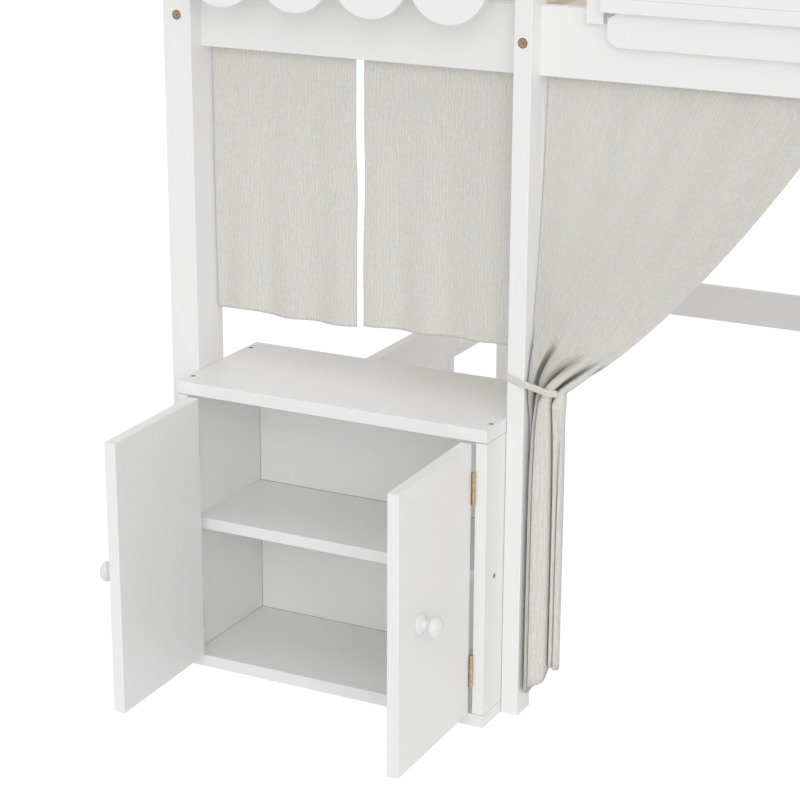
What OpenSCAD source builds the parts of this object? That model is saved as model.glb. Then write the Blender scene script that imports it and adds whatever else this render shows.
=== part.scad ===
// Loft bed with a play front. Its left bay holds a small cupboard under a scalloped awning
// and a pair of cafe curtains, its middle bay is a curtained doorway with a window above it,
// and its right bay is open. A ladder stands at the left end.
// Drawing frame: X runs along the bed from the left corner post's inner face, Y runs back
// from the fronts of the posts, and Z runs up from the floor. place() then moves the origin
// to the middle of the whole footprint, at floor level.

/* [Frame] */
// Clear width of each side bay, from a corner post to a door post
side_bay_w = 540; // [450:1:650]
// Clear width of the doorway, from door post to door post
door_bay_w = 784; // [650:1:945]
// Depth of the bed over its corner posts
bed_depth = 1470; // [1200:1:1770]
// Height of the posts
post_h = 1500; // [1420:1:1810]
// Width of a corner post, along the bed
corner_post_w = 49; // [40:1:60]
// Depth of a corner post
corner_post_d = 77; // [64:1:95]
// Width of a door post
door_post_w = 28; // [23:1:35]
// Depth of a door post
door_post_d = 46.5; // [40:0.5:56]
// Height of the rails' top edge
rail_top = 1094; // [900:1:1150]
// Height of a rail board
rail_h = 100; // [84:1:120]
// Thickness of a side rail
rail_t = 20; // [17:1:24]
// Thickness of an end rail
end_rail_t = 22; // [18:1:27]
// Distance from the post fronts back to the side rails and side guards
rail_setback = 32; // [26:1:38]
// Height of a low rail board
low_rail_h = 70; // [58:1:84]
// Height of the low rails' lower edge
low_rail_z = 259; // [215:1:310]
// Radius on the long edges of the boards
edge_r = 1.5; // [0.5:0.5:2.5]

/* [Bed base] */
// Height and depth of a slat ledger
ledger = 25; // [20:1:30]
// Drop from the rail's top edge to the slats' top faces
slat_drop = 9; // [4:1:15]
// Width of a slat
slat_w = 74; // [60:1:90]
// Thickness of a slat
slat_t = 18; // [15:1:22]
// Clear space between neighbouring slats
slat_gap = 28; // [20:1:36]
// Width of the centre beam
beam_w = 40; // [34:1:50]
// Height of the centre beam
beam_h = 67; // [55:1:80]

/* [Guards] */
// Height of a lower guard board
low_guard_h = 60; // [50:1:72]
// Height of a top guard board
top_guard_h = 70; // [58:1:84]
// Clear space between a rail and the lower guard
guard_gap = 96; // [80:1:110]
// Drop from the post tops to the top guards
guard_drop = 30; // [20:1:40]

/* [Window and flower box] */
// Clear space from a door post to a window stile
window_margin = 74; // [60:1:90]
// Width of a window stile
stile_w = 26; // [20:1:34]
// Thickness of the window stiles, cross and apron
window_t = 14; // [12:1:18]
// Thickness of the sill
sill_t = 20.5; // [17:0.5:24]
// Depth of the sill, front to back
sill_d = 47; // [40:1:56]
// Height of the apron under the sill
apron_h = 49; // [40:1:58]
// Width and height of the apron's clipped corners
apron_clip = [15, 10];
// Height of the flower box walls
planter_h = 85; // [70:1:100]
// Thickness of the flower box walls
planter_t = 12; // [8:1:14]
// Space between the flower box's front board and the window
planter_fit = 1; // [0.5:0.5:3]
// Width of the window cross's bars
cross_w = 18; // [14:1:24]

/* [Awning] */
// Clear space between the awning and the posts beside it
awning_margin = 20; // [12:1:30]
// Number of scallops along the valance
scallop_n = 4; // [3:1:6]
// Thickness of the valance and the awning roof
awning_t = 12; // [10:1:15]
// Distance from the post fronts to the valance's front face
awning_reach = 48; // [40:1:58]
// Drop from the rail's top edge to the lowest point of the scallops
scallop_drop = 25; // [15:1:35]
// Rise of the awning roof from front to back
roof_rise = 118; // [98:1:140]
// Thickness of an awning bracket
bracket_t = 15; // [12:1:18]

/* [Ladder] */
// Width of a ladder stile, along the bed
ladder_stile_w = 65; // [54:1:78]
// Thickness of a ladder stile
ladder_stile_t = 25; // [21:1:30]
// Clear width between the ladder stiles
ladder_clear = 338; // [300:1:405]
// Space from the back post to the ladder
ladder_back_gap = 17; // [10:1:24]
// Rise from rung to rung
rung_pitch = 250; // [210:1:300]
// Thickness of a rung
rung_t = 22; // [18:1:26]
// Depth of a rung's tread
rung_d = 58; // [48:1:60]
// Depth of the rung's seat in a stile
rung_seat = 8; // [6:1:12]

/* [Cupboard] */
// Height of the cupboard
cupboard_h = 482; // [402:1:520]
// Depth of the cupboard
cupboard_d = 246.6; // [205:0.1:296]
// Distance that the cupboard stands out from the post fronts
cupboard_out = 65.6; // [54:0.1:78]
// Clearance between the cupboard and each post beside it
cupboard_fit = 0.5; // [0.3:0.1:1]
// Thickness of the top and base boards
deck_t = 20.4; // [17:0.1:24]
// Thickness of the side panels
side_t = 18.4; // [15.4:0.1:22]
// Thickness of the back panel
back_t = 18; // [9:1:20]
// Distance that the back panel is set in from the sides' rear edges
back_inset = 7; // [0:1:12]
// Thickness of the shelf
shelf_t = 19; // [16:0.5:22]
// Height of the shelf's underside
shelf_z = 231.4; // [195:0.1:260]
// Distance from the cupboard's front to the shelf's front edge
shelf_inset = 20.6; // [20:0.1:30]

/* [Cupboard doors] */
// Thickness of a door
door_t = 18.5; // [16:0.5:20]
// Clear gap around the doors
door_gap = 2; // [1.9:0.1:3]
// Angle that the left door stands open
left_open = 88; // [0:1:170]
// Angle that the right door stands open
right_open = 91.5; // [0:0.5:170]
// Height of the knobs' axes
knob_z = 238; // [200:1:280]
// Distance from the left door's free edge to its knob
left_knob_edge = 34; // [25:1:80]
// Distance from the right door's free edge to its knob
right_knob_edge = 72; // [25:1:80]
// Radius of a knob's rose
rose_r = 17; // [14:0.5:20]
// Radius of a knob's head
knob_r = 15.5; // [13:0.5:18]
// Length of a knob from the door's face
knob_l = 32; // [27:1:38]

/* [Hinges] */
// Height of a hinge
hinge_h = 51; // [42:1:61]
// Distance from a door's top or bottom edge to its hinge
hinge_inset = 45; // [37:1:54]
// Width of a hinge leaf
leaf_w = 18; // [14:1:18]
// Thickness of a hinge leaf
leaf_t = 0.9; // [0.7:0.1:0.9]
// Radius of a hinge knuckle
knuckle_r = 3; // [2.6:0.1:3.4]
// Radius of a hinge pin
pin_r = 1.5; // [1.3:0.1:1.7]
// Radial clearance between a hinge pin and its knuckles
pin_fit = 0.05; // [0.02:0.01:0.1]
// Clearance between hinge knuckles, and between a knuckle and the boards
knuckle_fit = 0.3; // [0.2:0.1:0.5]

/* [Curtains] */
// Thickness of the curtain cloth as drawn
cloth_t = 1.5; // [1:0.1:2]
// Clear height from the cupboard's top to the cafe curtains' hems
cafe_hem_gap = 92; // [60:1:120]
// Space between a cafe curtain and the post beside it
cafe_margin = 5; // [3:1:10]
// Width of the left cafe curtain
cafe_left_w = 252; // [180:1:255]
// Space between the two cafe curtains
cafe_gap = 14; // [8:1:30]
// Distance that a long curtain's top reaches into the doorway
long_reach = 477; // [380:1:560]
// Height of the tie on a long curtain
tie_z = 540; // [460:1:640]
// Height of a long curtain's hem beside the post
long_hem_z = 26; // [10:1:60]
// Height that the long curtain's hem gains towards its free edge
long_hem_rise = 42; // [0:1:60]
// Width of a tie band
tie_h = 11; // [8:1:16]
// Thickness of the hanging tapes
tape_t = 1.5; // [1:0.1:2]
// Height of the hanging tapes
tape_h = 25; // [20:1:25]
// Width and depth of the battens behind the door posts
batten = [28, 14];

/* [Fasteners] */
// Radius of a bolt's shank
bolt_r = 3; // [2.5:0.5:4]
// Radius of a bolt's head and of the cap over it
head_r = 7.5; // [6:0.5:8.5]
// Thickness of a bolt's head
head_t = 5; // [4:0.5:6]
// Depth of a capped bolt's counterbore
counterbore = 12; // [10:1:16]
// Radius of a barrel nut
nut_r = 5; // [4.5:0.5:6]
// Length of a barrel nut
nut_l = 14; // [10:1:16]
// Radius of a dowel
dowel_r = 4; // [3:0.5:5]
// Length of a frame dowel
dowel_l = 24; // [18:1:24]
// Length of a cupboard dowel
peg_l = 50; // [40:1:60]
// Height that a cap stands proud of its post
cap_proud = 0.8; // [0.4:0.1:1.5]
// Clearance around a bolt, cap, nut or dowel in its hole
hole_fit = 0.1; // [0.05:0.05:0.3]

/* [Hidden] */
$fn = 48;

WHITE = [0.95, 0.95, 0.94];
PINE = [0.86, 0.74, 0.55];
BRASS = [0.72, 0.56, 0.36];
BROWN = [0.55, 0.38, 0.22];
STEEL = [0.7, 0.7, 0.72];
LINEN = [0.82, 0.81, 0.78];

// Stations along the bed
inner_l = 2 * side_bay_w + 2 * door_post_w + door_bay_w;
mid_x = inner_l / 2;
left_door_x = side_bay_w;
right_door_x = inner_l - side_bay_w - door_post_w;
post_mid = corner_post_w / 2;
end_rail_in = post_mid - end_rail_t / 2;
end_rail_out = end_rail_in + end_rail_t;
ladder_out = end_rail_out + ladder_stile_w;

// Stations across the bed
back_post_y = bed_depth - corner_post_d;
rail_back = rail_setback + rail_t;
back_rail_y = bed_depth - rail_back;
rail_mid_y = rail_setback + rail_t / 2;
back_rail_mid_y = bed_depth - rail_mid_y;
ladder_y1 = back_post_y - ladder_back_gap;
ladder_y0 = ladder_y1 - ladder_stile_t - ladder_clear - ladder_stile_t;

// Heights
rail_z = rail_top - rail_h;
rail_mid_z = rail_z + rail_h / 2;
low_rail_mid_z = low_rail_z + low_rail_h / 2;
slat_z = rail_top - slat_drop - slat_t;
low_guard_z = rail_top + guard_gap;
top_guard_z = post_h - guard_drop - top_guard_h;
guard_mids = [low_guard_z + low_guard_h / 2, top_guard_z + top_guard_h / 2];
side_bolt_inset = 18;
side_bolt_zs = [rail_z + side_bolt_inset, rail_top - side_bolt_inset];
low_bolt_inset = 17;
low_bolt_zs = [low_rail_z + low_bolt_inset, low_rail_z + low_rail_h - low_bolt_inset];

// Window and awning
window_x0 = left_door_x + door_post_w + window_margin;
window_x1 = right_door_x - window_margin;
window_y = rail_setback - window_t;
stile_lap = 18;
sill_y = window_y - planter_fit - planter_t;
sill_back = sill_y + sill_d;
sill_top = rail_top + sill_t;
cross_z = (sill_top + planter_h + top_guard_z) / 2;
cross_lap = 30;
valance_l = side_bay_w - 2 * awning_margin;
scallop_r = valance_l / scallop_n / 2;
scallop_z = rail_top - scallop_drop;
roof_front_y = awning_t - awning_reach;
roof_front_z = low_guard_z - 18;
roof_edge_h = 2 * awning_t;
bracket_drop = 32;

// Cupboard and doors
cup_x0 = cupboard_fit;
cup_x1 = side_bay_w - cupboard_fit;
cup_y0 = -cupboard_out;
cup_y1 = cupboard_d - cupboard_out;
door_z0 = deck_t + door_gap;
door_z1 = cupboard_h - deck_t - door_gap;
door_w = (cup_x1 - cup_x0 - 2 * side_t - 3 * door_gap) / 2;
panel_r = 1;
pin_out = knuckle_r + knuckle_fit;
pin_y = cup_y0 - pin_out;
left_pin_x = cup_x0 + side_t + door_gap / 2;
right_pin_x = cup_x1 - side_t - door_gap / 2;
door_tip = door_w + door_gap / 2;
hinge_zs = [door_z0 + hinge_inset, door_z1 - hinge_inset - hinge_h];
peg_inset = 33.6;

// Whole footprint, with the doors standing open
front_y = pin_y + min([for (a = [left_open, right_open], d = [pin_out, pin_out + door_t])
  d * cos(a) - door_tip * sin(a)]);
origin_x = (inner_l + corner_post_w + cap_proud - ladder_out) / 2;
origin_y = (front_y + bed_depth + cap_proud) / 2;
echo(origin_x = origin_x, origin_y = origin_y);

// Ways that a bolt can run
EAST = [1, 0, 0];
WEST = [-1, 0, 0];
BACKWARD = [0, 1, 0];
FORWARD = [0, -1, 0];

// Each bolt is [point where it enters, way it runs, seat depth, reach to its nut,
// side that its nut's pocket opens to, half the thickness of the nut's board, capped].
// A nut with no pocket is a sleeve in line with the bolt.
end_reach = corner_post_d + 35;
side_reach = corner_post_w + 35;
end_rail_bolts = [for (z = [rail_mid_z, low_rail_mid_z], s = [0, 1], f = [0, 1])
  [[s == 0 ? -post_mid : inner_l + post_mid, f == 0 ? 0 : bed_depth, z],
   f == 0 ? BACKWARD : FORWARD, counterbore, end_reach, s == 0 ? 1 : -1, end_rail_t / 2, true]];
side_rail_bolts = [for (z = side_bolt_zs, s = [0, 1], f = [0, 1])
  [[s == 0 ? -corner_post_w : inner_l + corner_post_w, f == 0 ? rail_mid_y : back_rail_mid_y, z],
   s == 0 ? EAST : WEST, counterbore, side_reach, f == 0 ? 1 : -1, rail_t / 2, true]];
low_rail_bolts = [for (z = low_bolt_zs, s = [0, 1])
  [[s == 0 ? -corner_post_w : inner_l + corner_post_w, back_rail_mid_y, z],
   s == 0 ? EAST : WEST, counterbore, side_reach, -1, rail_t / 2, true]];
door_post_bolts = [for (x = [left_door_x, right_door_x])
  [[x + door_post_w / 2, 0, rail_mid_z], BACKWARD, counterbore, rail_mid_y - 2, 0, 0, true]];
beam_bolts = [for (s = [0, 1])
  [[s == 0 ? -end_rail_out : inner_l + end_rail_out, bed_depth / 2, slat_z - beam_h / 2],
   s == 0 ? EAST : WEST, head_t, end_rail_t + 40, 1, beam_w / 2, false]];
ladder_bolt_drop = 22;
ladder_bolt_zs = [rail_mid_z - ladder_bolt_drop, low_rail_mid_z - ladder_bolt_drop];
ladder_bolts = [for (z = ladder_bolt_zs, f = [0, 1])
  [[-end_rail_in, f == 0 ? ladder_y0 + ladder_stile_t / 2 : ladder_y1 - ladder_stile_t / 2, z],
   WEST, head_t, end_rail_t + 32, f == 0 ? -1 : 1, ladder_stile_t / 2, false]];
BOLTS = concat(end_rail_bolts, side_rail_bolts, low_rail_bolts, door_post_bolts, beam_bolts,
  ladder_bolts);

// Each dowel is [middle of the joint it crosses, way it runs]
front_guard_dowels = [for (x = [0, side_bay_w, inner_l - side_bay_w, inner_l], z = guard_mids)
  [[x, rail_mid_y, z], EAST]];
back_guard_dowels = [for (x = [0, inner_l], z = guard_mids) [[x, back_rail_mid_y, z], EAST]];
right_guard_dowels = [for (y = [corner_post_d, back_post_y], z = guard_mids)
  [[inner_l + post_mid, y, z], BACKWARD]];
left_guard_dowels = [for (z = guard_mids) [[-post_mid, corner_post_d, z], BACKWARD]];
stile_guard_dowels = [for (z = guard_mids)
  [[-end_rail_out, ladder_y0 + ladder_stile_t / 2, z], EAST]];
window_rail_dowels = [for (x = [left_door_x + door_post_w, right_door_x])
  [[x, rail_mid_y, guard_mids[1]], EAST]];
window_stile_dowels = [for (x = [window_x0 + stile_w / 2, window_x1 - stile_w / 2],
  z = [rail_top - stile_lap / 2, guard_mids[1]]) [[x, rail_setback, z], BACKWARD]];
awning_dowels = [for (x = [awning_margin + bracket_t / 2, side_bay_w - awning_margin - bracket_t / 2])
  [[x, rail_setback, guard_mids[0]], BACKWARD]];
DOWELS = concat(front_guard_dowels, back_guard_dowels, right_guard_dowels, left_guard_dowels,
  stile_guard_dowels, window_rail_dowels, window_stile_dowels, awning_dowels);

// Each cupboard dowel is [middle of its visible end, way it runs]
peg_ys = [cup_y0 + peg_inset, cup_y1 - peg_inset];
side_mid_xs = [cup_x0 + side_t / 2, cup_x1 - side_t / 2];
PEGS = concat(
  [for (x = side_mid_xs, y = peg_ys) [[x, y, cupboard_h], [0, 0, -1]]],
  [for (x = side_mid_xs, y = peg_ys) [[x, y, 0], [0, 0, 1]]],
  [for (y = [peg_ys[0], peg_ys[1] - 27]) [[cup_x0, y, shelf_z + shelf_t / 2], EAST]],
  [for (y = [peg_ys[0], peg_ys[1] - 27]) [[cup_x1, y, shelf_z + shelf_t / 2], WEST]]);

// Curtain routes. The bundle's two sections are drawn from the door post's inner front edge.
curtain_top = slat_z - ledger - 6;
seat_gap = 0.3;
ripple = 1.5;
cafe_y = rail_back + tape_t + seat_gap + cloth_t / 2;
long_y = cafe_y + ripple;
rear_long_y = long_y + 12;
rear_curtain_top = slat_z - ledger - tape_t - seat_gap;
cafe_hem = cupboard_h + cafe_hem_gap;
tie_section = [[4, 44], [3, 32], [3.4, 14], [6, 4.5], [9.5, 7], [10.5, 28], [12.5, 46], [17, 34],
  [18.2, 14], [20.5, 6.5], [24.5, 8], [27.5, 32], [30, 9], [34.5, 6.8], [37, 10], [36.2, 24],
  [35.5, 52], [40.5, 38], [41.8, 19], [47, 18], [52, 27], [49, 38], [42.8, 51], [44.6, 42]];
foot_section = [[4, 46], [3.5, 38], [3.5, 30], [5, 24], [8, 30], [9, 38], [10.2, 44], [10.8, 34],
  [10, 14], [13, 6.4], [19, 7], [24, 8], [30, 8.5], [37, 9.8], [41.5, 14], [39, 30], [39, 50],
  [43, 36], [45.6, 20], [49.5, 21], [56, 26], [52, 41], [47, 51], [48, 42]];
tie_base = [[3.5, 8], [52, 30]];
fan_start = 0.22;
tie_route = [[38.8, 32], [38.9, 18], [38.9, 10], [37.5, 5.5], [34, 4.1], [22, 3.2], [12, 2],
  [4, 0], [0, -1.5], [-door_post_w - 0.4, -1.5], [-door_post_w - 1.3, -0.6],
  [-door_post_w - 1.3, door_post_d + 0.7], [-door_post_w - 0.4, door_post_d + 1.6],
  [0, door_post_d + 1.6], [14, door_post_d + 1.8], [26, door_post_d + 2.6]];
tie_t = 1.2;
tie_slope = -0.28;

// Placing and shaping

module place() {
  translate([-origin_x, -origin_y, 0]) children();
}

function inside(p, lo, hi, slack = 0.6) =
  p.x > lo.x - slack && p.y > lo.y - slack && p.z > lo.z - slack
  && p.x < hi.x + slack && p.y < hi.y + slack && p.z < hi.z + slack;

// Turns the Z axis to a way along X, Y or Z
module toward(way) {
  turn = way.x != 0 ? [0, 90 * way.x, 0] : way.y != 0 ? [-90 * way.y, 0, 0]
    : [way.z > 0 ? 0 : 180, 0, 0];
  rotate(turn) children();
}

// Turns the Z axis to the line of a barrel nut, square to its bolt
module across(way, side) {
  turn = way.x != 0 ? [-90 * side, 0, 0] : [0, 90 * side, 0];
  rotate(turn) children();
}

module bolt_cut(b) {
  translate(b[0]) toward(b[1]) {
    cylinder(r = bolt_r + hole_fit, h = b[3] + nut_r + 4);
    translate([0, 0, -1]) cylinder(r = head_r + hole_fit, h = b[2] + 1);
  }
  nut = b[0] + b[1] * b[3];
  if (b[4] == 0)
    translate(nut - b[1] * nut_l / 2) toward(b[1]) cylinder(r = nut_r + hole_fit, h = nut_l);
  else
    translate(nut) across(b[1], b[4]) translate([0, 0, -nut_l / 2])
      cylinder(r = nut_r + hole_fit, h = nut_l / 2 + b[5] + 1);
}

module dowel(d, spare = 0) {
  translate(d[0]) toward(d[1])
    cylinder(r = dowel_r + spare, h = dowel_l + 2 * spare, center = true);
}

module peg(p, spare = 0) {
  translate(p[0]) toward(p[1]) translate([0, 0, -spare])
    cylinder(r = dowel_r + spare, h = peg_l + 2 * spare);
}

// Removes the holes of every bolt, dowel and peg that enters the box from lo to hi
module drilled(lo, hi) {
  difference() {
    children();
    for (b = BOLTS)
      if (inside(b[0], lo, hi) || inside(b[0] + b[1] * b[3], lo, hi)) bolt_cut(b);
    for (d = DOWELS)
      if (inside(d[0], lo, hi)) dowel(d, hole_fit);
    for (p = PEGS)
      if (inside(p[0], lo, hi) || inside(p[0] + p[1] * peg_l, lo, hi)) peg(p, hole_fit);
  }
}

module eased(w, h, r) {
  translate([r, 0]) square([w - 2 * r, h]);
  translate([0, r]) square([w, h - 2 * r]);
  for (x = [r, w - r], y = [r, h - r])
    translate([x, y]) circle(r = r);
}

// A board from corner lo to corner hi, with the edges that run along one axis eased
module board(lo, hi, run, r = edge_r) {
  size = hi - lo;
  drilled(lo, hi) {
    if (run == "x")
      translate(lo) rotate([90, 0, 90]) linear_extrude(size.x) eased(size.y, size.z, r);
    if (run == "y")
      translate([lo.x, hi.y, lo.z]) rotate([90, 0, 0]) linear_extrude(size.y)
        eased(size.x, size.z, r);
    if (run == "z")
      translate(lo) linear_extrude(size.z) eased(size.x, size.y, r);
  }
}

// Mirrors its children to the other half of the bed as well
module both_halves() {
  children();
  translate([inner_l, 0, 0]) mirror([1, 0, 0]) children();
}

// Frame

module corner_post(x, y) {
  color(WHITE) place()
    board([x, y, 0], [x + corner_post_w, y + corner_post_d, post_h], "z");
}

module front_left_post() { corner_post(-corner_post_w, 0); }
module front_right_post() { corner_post(inner_l, 0); }
module back_left_post() { corner_post(-corner_post_w, back_post_y); }
module back_right_post() { corner_post(inner_l, back_post_y); }

// A door post is notched at the back, so that the front rail passes behind it unbroken
module door_post(x) {
  color(WHITE) place() difference() {
    board([x, 0, 0], [x + door_post_w, door_post_d, post_h], "z");
    translate([x - 1, rail_setback, rail_z])
      cube([door_post_w + 2, door_post_d, rail_h]);
  }
}

module left_door_post() { door_post(left_door_x); }
module right_door_post() { door_post(right_door_x); }

module side_rail(y) {
  color(WHITE) place() board([0, y, rail_z], [inner_l, y + rail_t, rail_top], "x");
}

module front_side_rail() { side_rail(rail_setback); }
module back_side_rail() { side_rail(back_rail_y); }

module end_board(x, y1, z, h) {
  board([x, corner_post_d, z], [x + end_rail_t, y1, z + h], "y");
}

left_end_x = -end_rail_out;
right_end_x = inner_l + end_rail_in;

module left_end_rail() {
  color(WHITE) place() end_board(left_end_x, back_post_y, rail_z, rail_h);
}
module right_end_rail() {
  color(WHITE) place() end_board(right_end_x, back_post_y, rail_z, rail_h);
}
module left_low_rail() {
  color(WHITE) place() end_board(left_end_x, back_post_y, low_rail_z, low_rail_h);
}
module right_low_rail() {
  color(WHITE) place() end_board(right_end_x, back_post_y, low_rail_z, low_rail_h);
}
module back_low_rail() {
  color(WHITE) place()
    board([0, back_rail_y, low_rail_z], [inner_l, back_rail_y + rail_t, low_rail_z + low_rail_h], "x");
}

// Bed base

module ledger_bar(y) {
  color(WHITE) place()
    board([0, y, slat_z - ledger], [inner_l, y + ledger, slat_z], "x");
}

module front_ledger() { ledger_bar(rail_back); }
module back_ledger() { ledger_bar(back_rail_y - ledger); }

module centre_beam() {
  beam_y = (bed_depth - beam_w) / 2;
  color(PINE) place()
    board([-end_rail_in, beam_y, slat_z - beam_h], [inner_l + end_rail_in, beam_y + beam_w, slat_z],
      "x");
}

slat_pitch = slat_w + slat_gap;
slat_n = floor((inner_l - 2 * slat_gap) / slat_pitch);

module slats() {
  start = mid_x - ((slat_n - 1) * slat_pitch + slat_w) / 2;
  color(PINE) place() for (i = [0 : slat_n - 1]) {
    x = start + i * slat_pitch;
    board([x, rail_back + 1, slat_z], [x + slat_w, back_rail_y - 1, slat_z + slat_t], "y");
  }
}

// Guards

module guard_pair(x0, x1, y) {
  board([x0, y, low_guard_z], [x1, y + rail_t, low_guard_z + low_guard_h], "x");
  board([x0, y, top_guard_z], [x1, y + rail_t, top_guard_z + top_guard_h], "x");
}

module front_guards() {
  color(WHITE) place() {
    guard_pair(0, side_bay_w, rail_setback);
    guard_pair(inner_l - side_bay_w, inner_l, rail_setback);
  }
}

module back_guards() {
  color(WHITE) place() guard_pair(0, inner_l, back_rail_y);
}

module end_guard_pair(x, y1) {
  end_board(x, y1, low_guard_z, low_guard_h);
  end_board(x, y1, top_guard_z, top_guard_h);
}

module right_end_guards() {
  color(WHITE) place() end_guard_pair(right_end_x, back_post_y);
}

module left_end_guards() {
  color(WHITE) place() end_guard_pair(left_end_x, ladder_y0 + ladder_stile_t);
}

// Window and flower box

module window_stiles() {
  top = top_guard_z + top_guard_h;
  color(WHITE) place() for (x = [window_x0, window_x1 - stile_w])
    board([x, window_y, rail_top - stile_lap], [x + stile_w, rail_setback, top], "z");
}

module window_top_rail() {
  color(WHITE) place()
    board([left_door_x + door_post_w, rail_setback, top_guard_z],
      [right_door_x, rail_back, top_guard_z + top_guard_h], "x");
}

// Upright and crossbar, halved and glued into one piece
module window_cross() {
  color(WHITE) place() {
    board([mid_x - cross_w / 2, window_y, sill_top],
      [mid_x + cross_w / 2, rail_setback, top_guard_z + cross_lap], "z", 1);
    board([window_x0 + stile_w, window_y, cross_z - cross_w / 2],
      [window_x1 - stile_w, rail_setback, cross_z + cross_w / 2], "x", 1);
  }
}

module window_sill() {
  color(WHITE) place()
    board([window_x0 + stile_w, sill_y, rail_top], [window_x1 - stile_w, sill_back, sill_top], "x");
}

module window_apron() {
  side_gap = 7;
  w = window_x1 - window_x0 - 2 * stile_w - 2 * side_gap;
  color(WHITE) place()
    translate([window_x0 + stile_w + side_gap, rail_setback, rail_top - apron_h])
    rotate([90, 0, 0]) linear_extrude(window_t)
    polygon([[apron_clip.x, 0], [w - apron_clip.x, 0], [w, apron_clip.y],
      [w, apron_h - apron_clip.y], [w - apron_clip.x, apron_h], [apron_clip.x, apron_h],
      [0, apron_h - apron_clip.y], [0, apron_clip.y]]);
}

module planter_front() {
  color(WHITE) place()
    board([window_x0 + stile_w, sill_y, sill_top],
      [window_x1 - stile_w, sill_y + planter_t, sill_top + planter_h], "x");
}

// Two end walls and two back boards, one on each side of the window's upright
module planter_walls() {
  top = sill_top + planter_h;
  inner_y = sill_y + planter_t;
  color(WHITE) place() both_halves() {
    board([window_x0 + stile_w, inner_y, sill_top],
      [window_x0 + stile_w + planter_t, sill_back, top], "z", 1);
    board([window_x0 + stile_w + planter_t, sill_back - planter_t, sill_top],
      [mid_x, sill_back, top], "x", 1);
  }
}

// Awning

module awning_valance() {
  top = roof_front_z + roof_edge_h;
  color(WHITE) place() translate([awning_margin, roof_front_y, 0]) rotate([90, 0, 0])
    linear_extrude(awning_t) {
      translate([0, scallop_z + scallop_r]) square([valance_l, top - scallop_z - scallop_r]);
      for (i = [0 : scallop_n - 1])
        translate([(2 * i + 1) * scallop_r, scallop_z + scallop_r]) circle(r = scallop_r);
    }
}

module awning_section(points, x, w) {
  translate([x, 0, 0]) rotate([90, 0, 90]) linear_extrude(w) polygon(points);
}

module awning_roof() {
  color(WHITE) place() awning_section([[roof_front_y, roof_front_z],
    [rail_setback, roof_front_z + roof_rise],
    [rail_setback, roof_front_z + roof_rise + roof_edge_h],
    [roof_front_y, roof_front_z + roof_edge_h]], awning_margin, valance_l);
}

module awning_brackets() {
  x1 = side_bay_w - awning_margin - bracket_t;
  color(WHITE) place() for (x = [awning_margin, x1])
    drilled([x, roof_front_y, low_guard_z], [x + bracket_t, rail_setback, top_guard_z])
      awning_section([[rail_setback, low_guard_z], [rail_setback, roof_front_z + roof_rise],
        [roof_front_y, roof_front_z], [roof_front_y, roof_front_z - bracket_drop]], x, bracket_t);
}

// Ladder

rung_n = floor((rail_top - rung_t) / rung_pitch);

module rung_set() {
  x0 = -end_rail_out - (ladder_stile_w + rung_d) / 2;
  for (i = [1 : rung_n])
    board([x0, ladder_y0 + ladder_stile_t - rung_seat, i * rung_pitch - rung_t],
      [x0 + rung_d, ladder_y1 - ladder_stile_t + rung_seat, i * rung_pitch], "y", 3);
}

module ladder_stile(y) {
  color(WHITE) place() difference() {
    board([-ladder_out, y, 0], [-end_rail_out, y + ladder_stile_t, post_h], "z", 3);
    rung_set();
  }
}

module ladder_front_stile() { ladder_stile(ladder_y0); }
module ladder_back_stile() { ladder_stile(ladder_y1 - ladder_stile_t); }
module ladder_rungs() {
  color(WHITE) place() rung_set();
}

// Cupboard

module cupboard_top() {
  color(WHITE) place()
    board([cup_x0, cup_y0, cupboard_h - deck_t], [cup_x1, cup_y1, cupboard_h], "x", panel_r);
}

module cupboard_base() {
  color(WHITE) place() board([cup_x0, cup_y0, 0], [cup_x1, cup_y1, deck_t], "x", panel_r);
}

module cupboard_side(x) {
  color(WHITE) place()
    board([x, cup_y0, deck_t], [x + side_t, cup_y1, cupboard_h - deck_t], "z", panel_r);
}

module cupboard_left_side() { cupboard_side(cup_x0); }
module cupboard_right_side() { cupboard_side(cup_x1 - side_t); }

module cupboard_back() {
  y = cup_y1 - back_inset - back_t;
  color(WHITE) place()
    translate([cup_x0 + side_t, y, deck_t])
    cube([cup_x1 - cup_x0 - 2 * side_t, back_t, cupboard_h - 2 * deck_t]);
}

module cupboard_shelf() {
  y1 = cup_y1 - back_inset - back_t;
  color(WHITE) place()
    board([cup_x0 + side_t, cup_y0 + shelf_inset, shelf_z],
      [cup_x1 - side_t, y1, shelf_z + shelf_t], "x", panel_r);
}

// Doors and hinges. Each is drawn closed and then swung open about its pin.

module left_swing() {
  place() translate([left_pin_x, pin_y, 0]) rotate([0, 0, -left_open]) children();
}

module right_swing() {
  place() translate([right_pin_x, pin_y, 0]) rotate([0, 0, right_open]) mirror([1, 0, 0])
    children();
}

// Drawn from the pin's axis, with the door running along +X
module door_panel() {
  board([door_gap / 2, pin_out, door_z0], [door_tip, pin_out + door_t, door_z1], "z", panel_r);
}

module left_door() { color(WHITE) left_swing() door_panel(); }
module right_door() { color(WHITE) right_swing() door_panel(); }

// Rose, neck and mushroom head, turned about the knob's axis
module knob(edge) {
  head_h = 18;
  head_mid = knob_l - head_h / 2;
  neck_r = 7;
  head = [for (a = [-60 : 15 : 75]) [knob_r * cos(a), head_mid + head_h / 2 * sin(a)]];
  translate([door_tip - edge, pin_out, knob_z]) rotate([90, 0, 0]) rotate_extrude()
    polygon(concat([[0, 0], [rose_r, 0], [rose_r, 2], [rose_r - 2, 4.5], [neck_r + 3, 6.5],
      [neck_r, 9]], head, [[0, knob_l]]));
}

module left_knob() { color(WHITE) left_swing() knob(left_knob_edge); }
module right_knob() { color(WHITE) right_swing() knob(right_knob_edge); }

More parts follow.
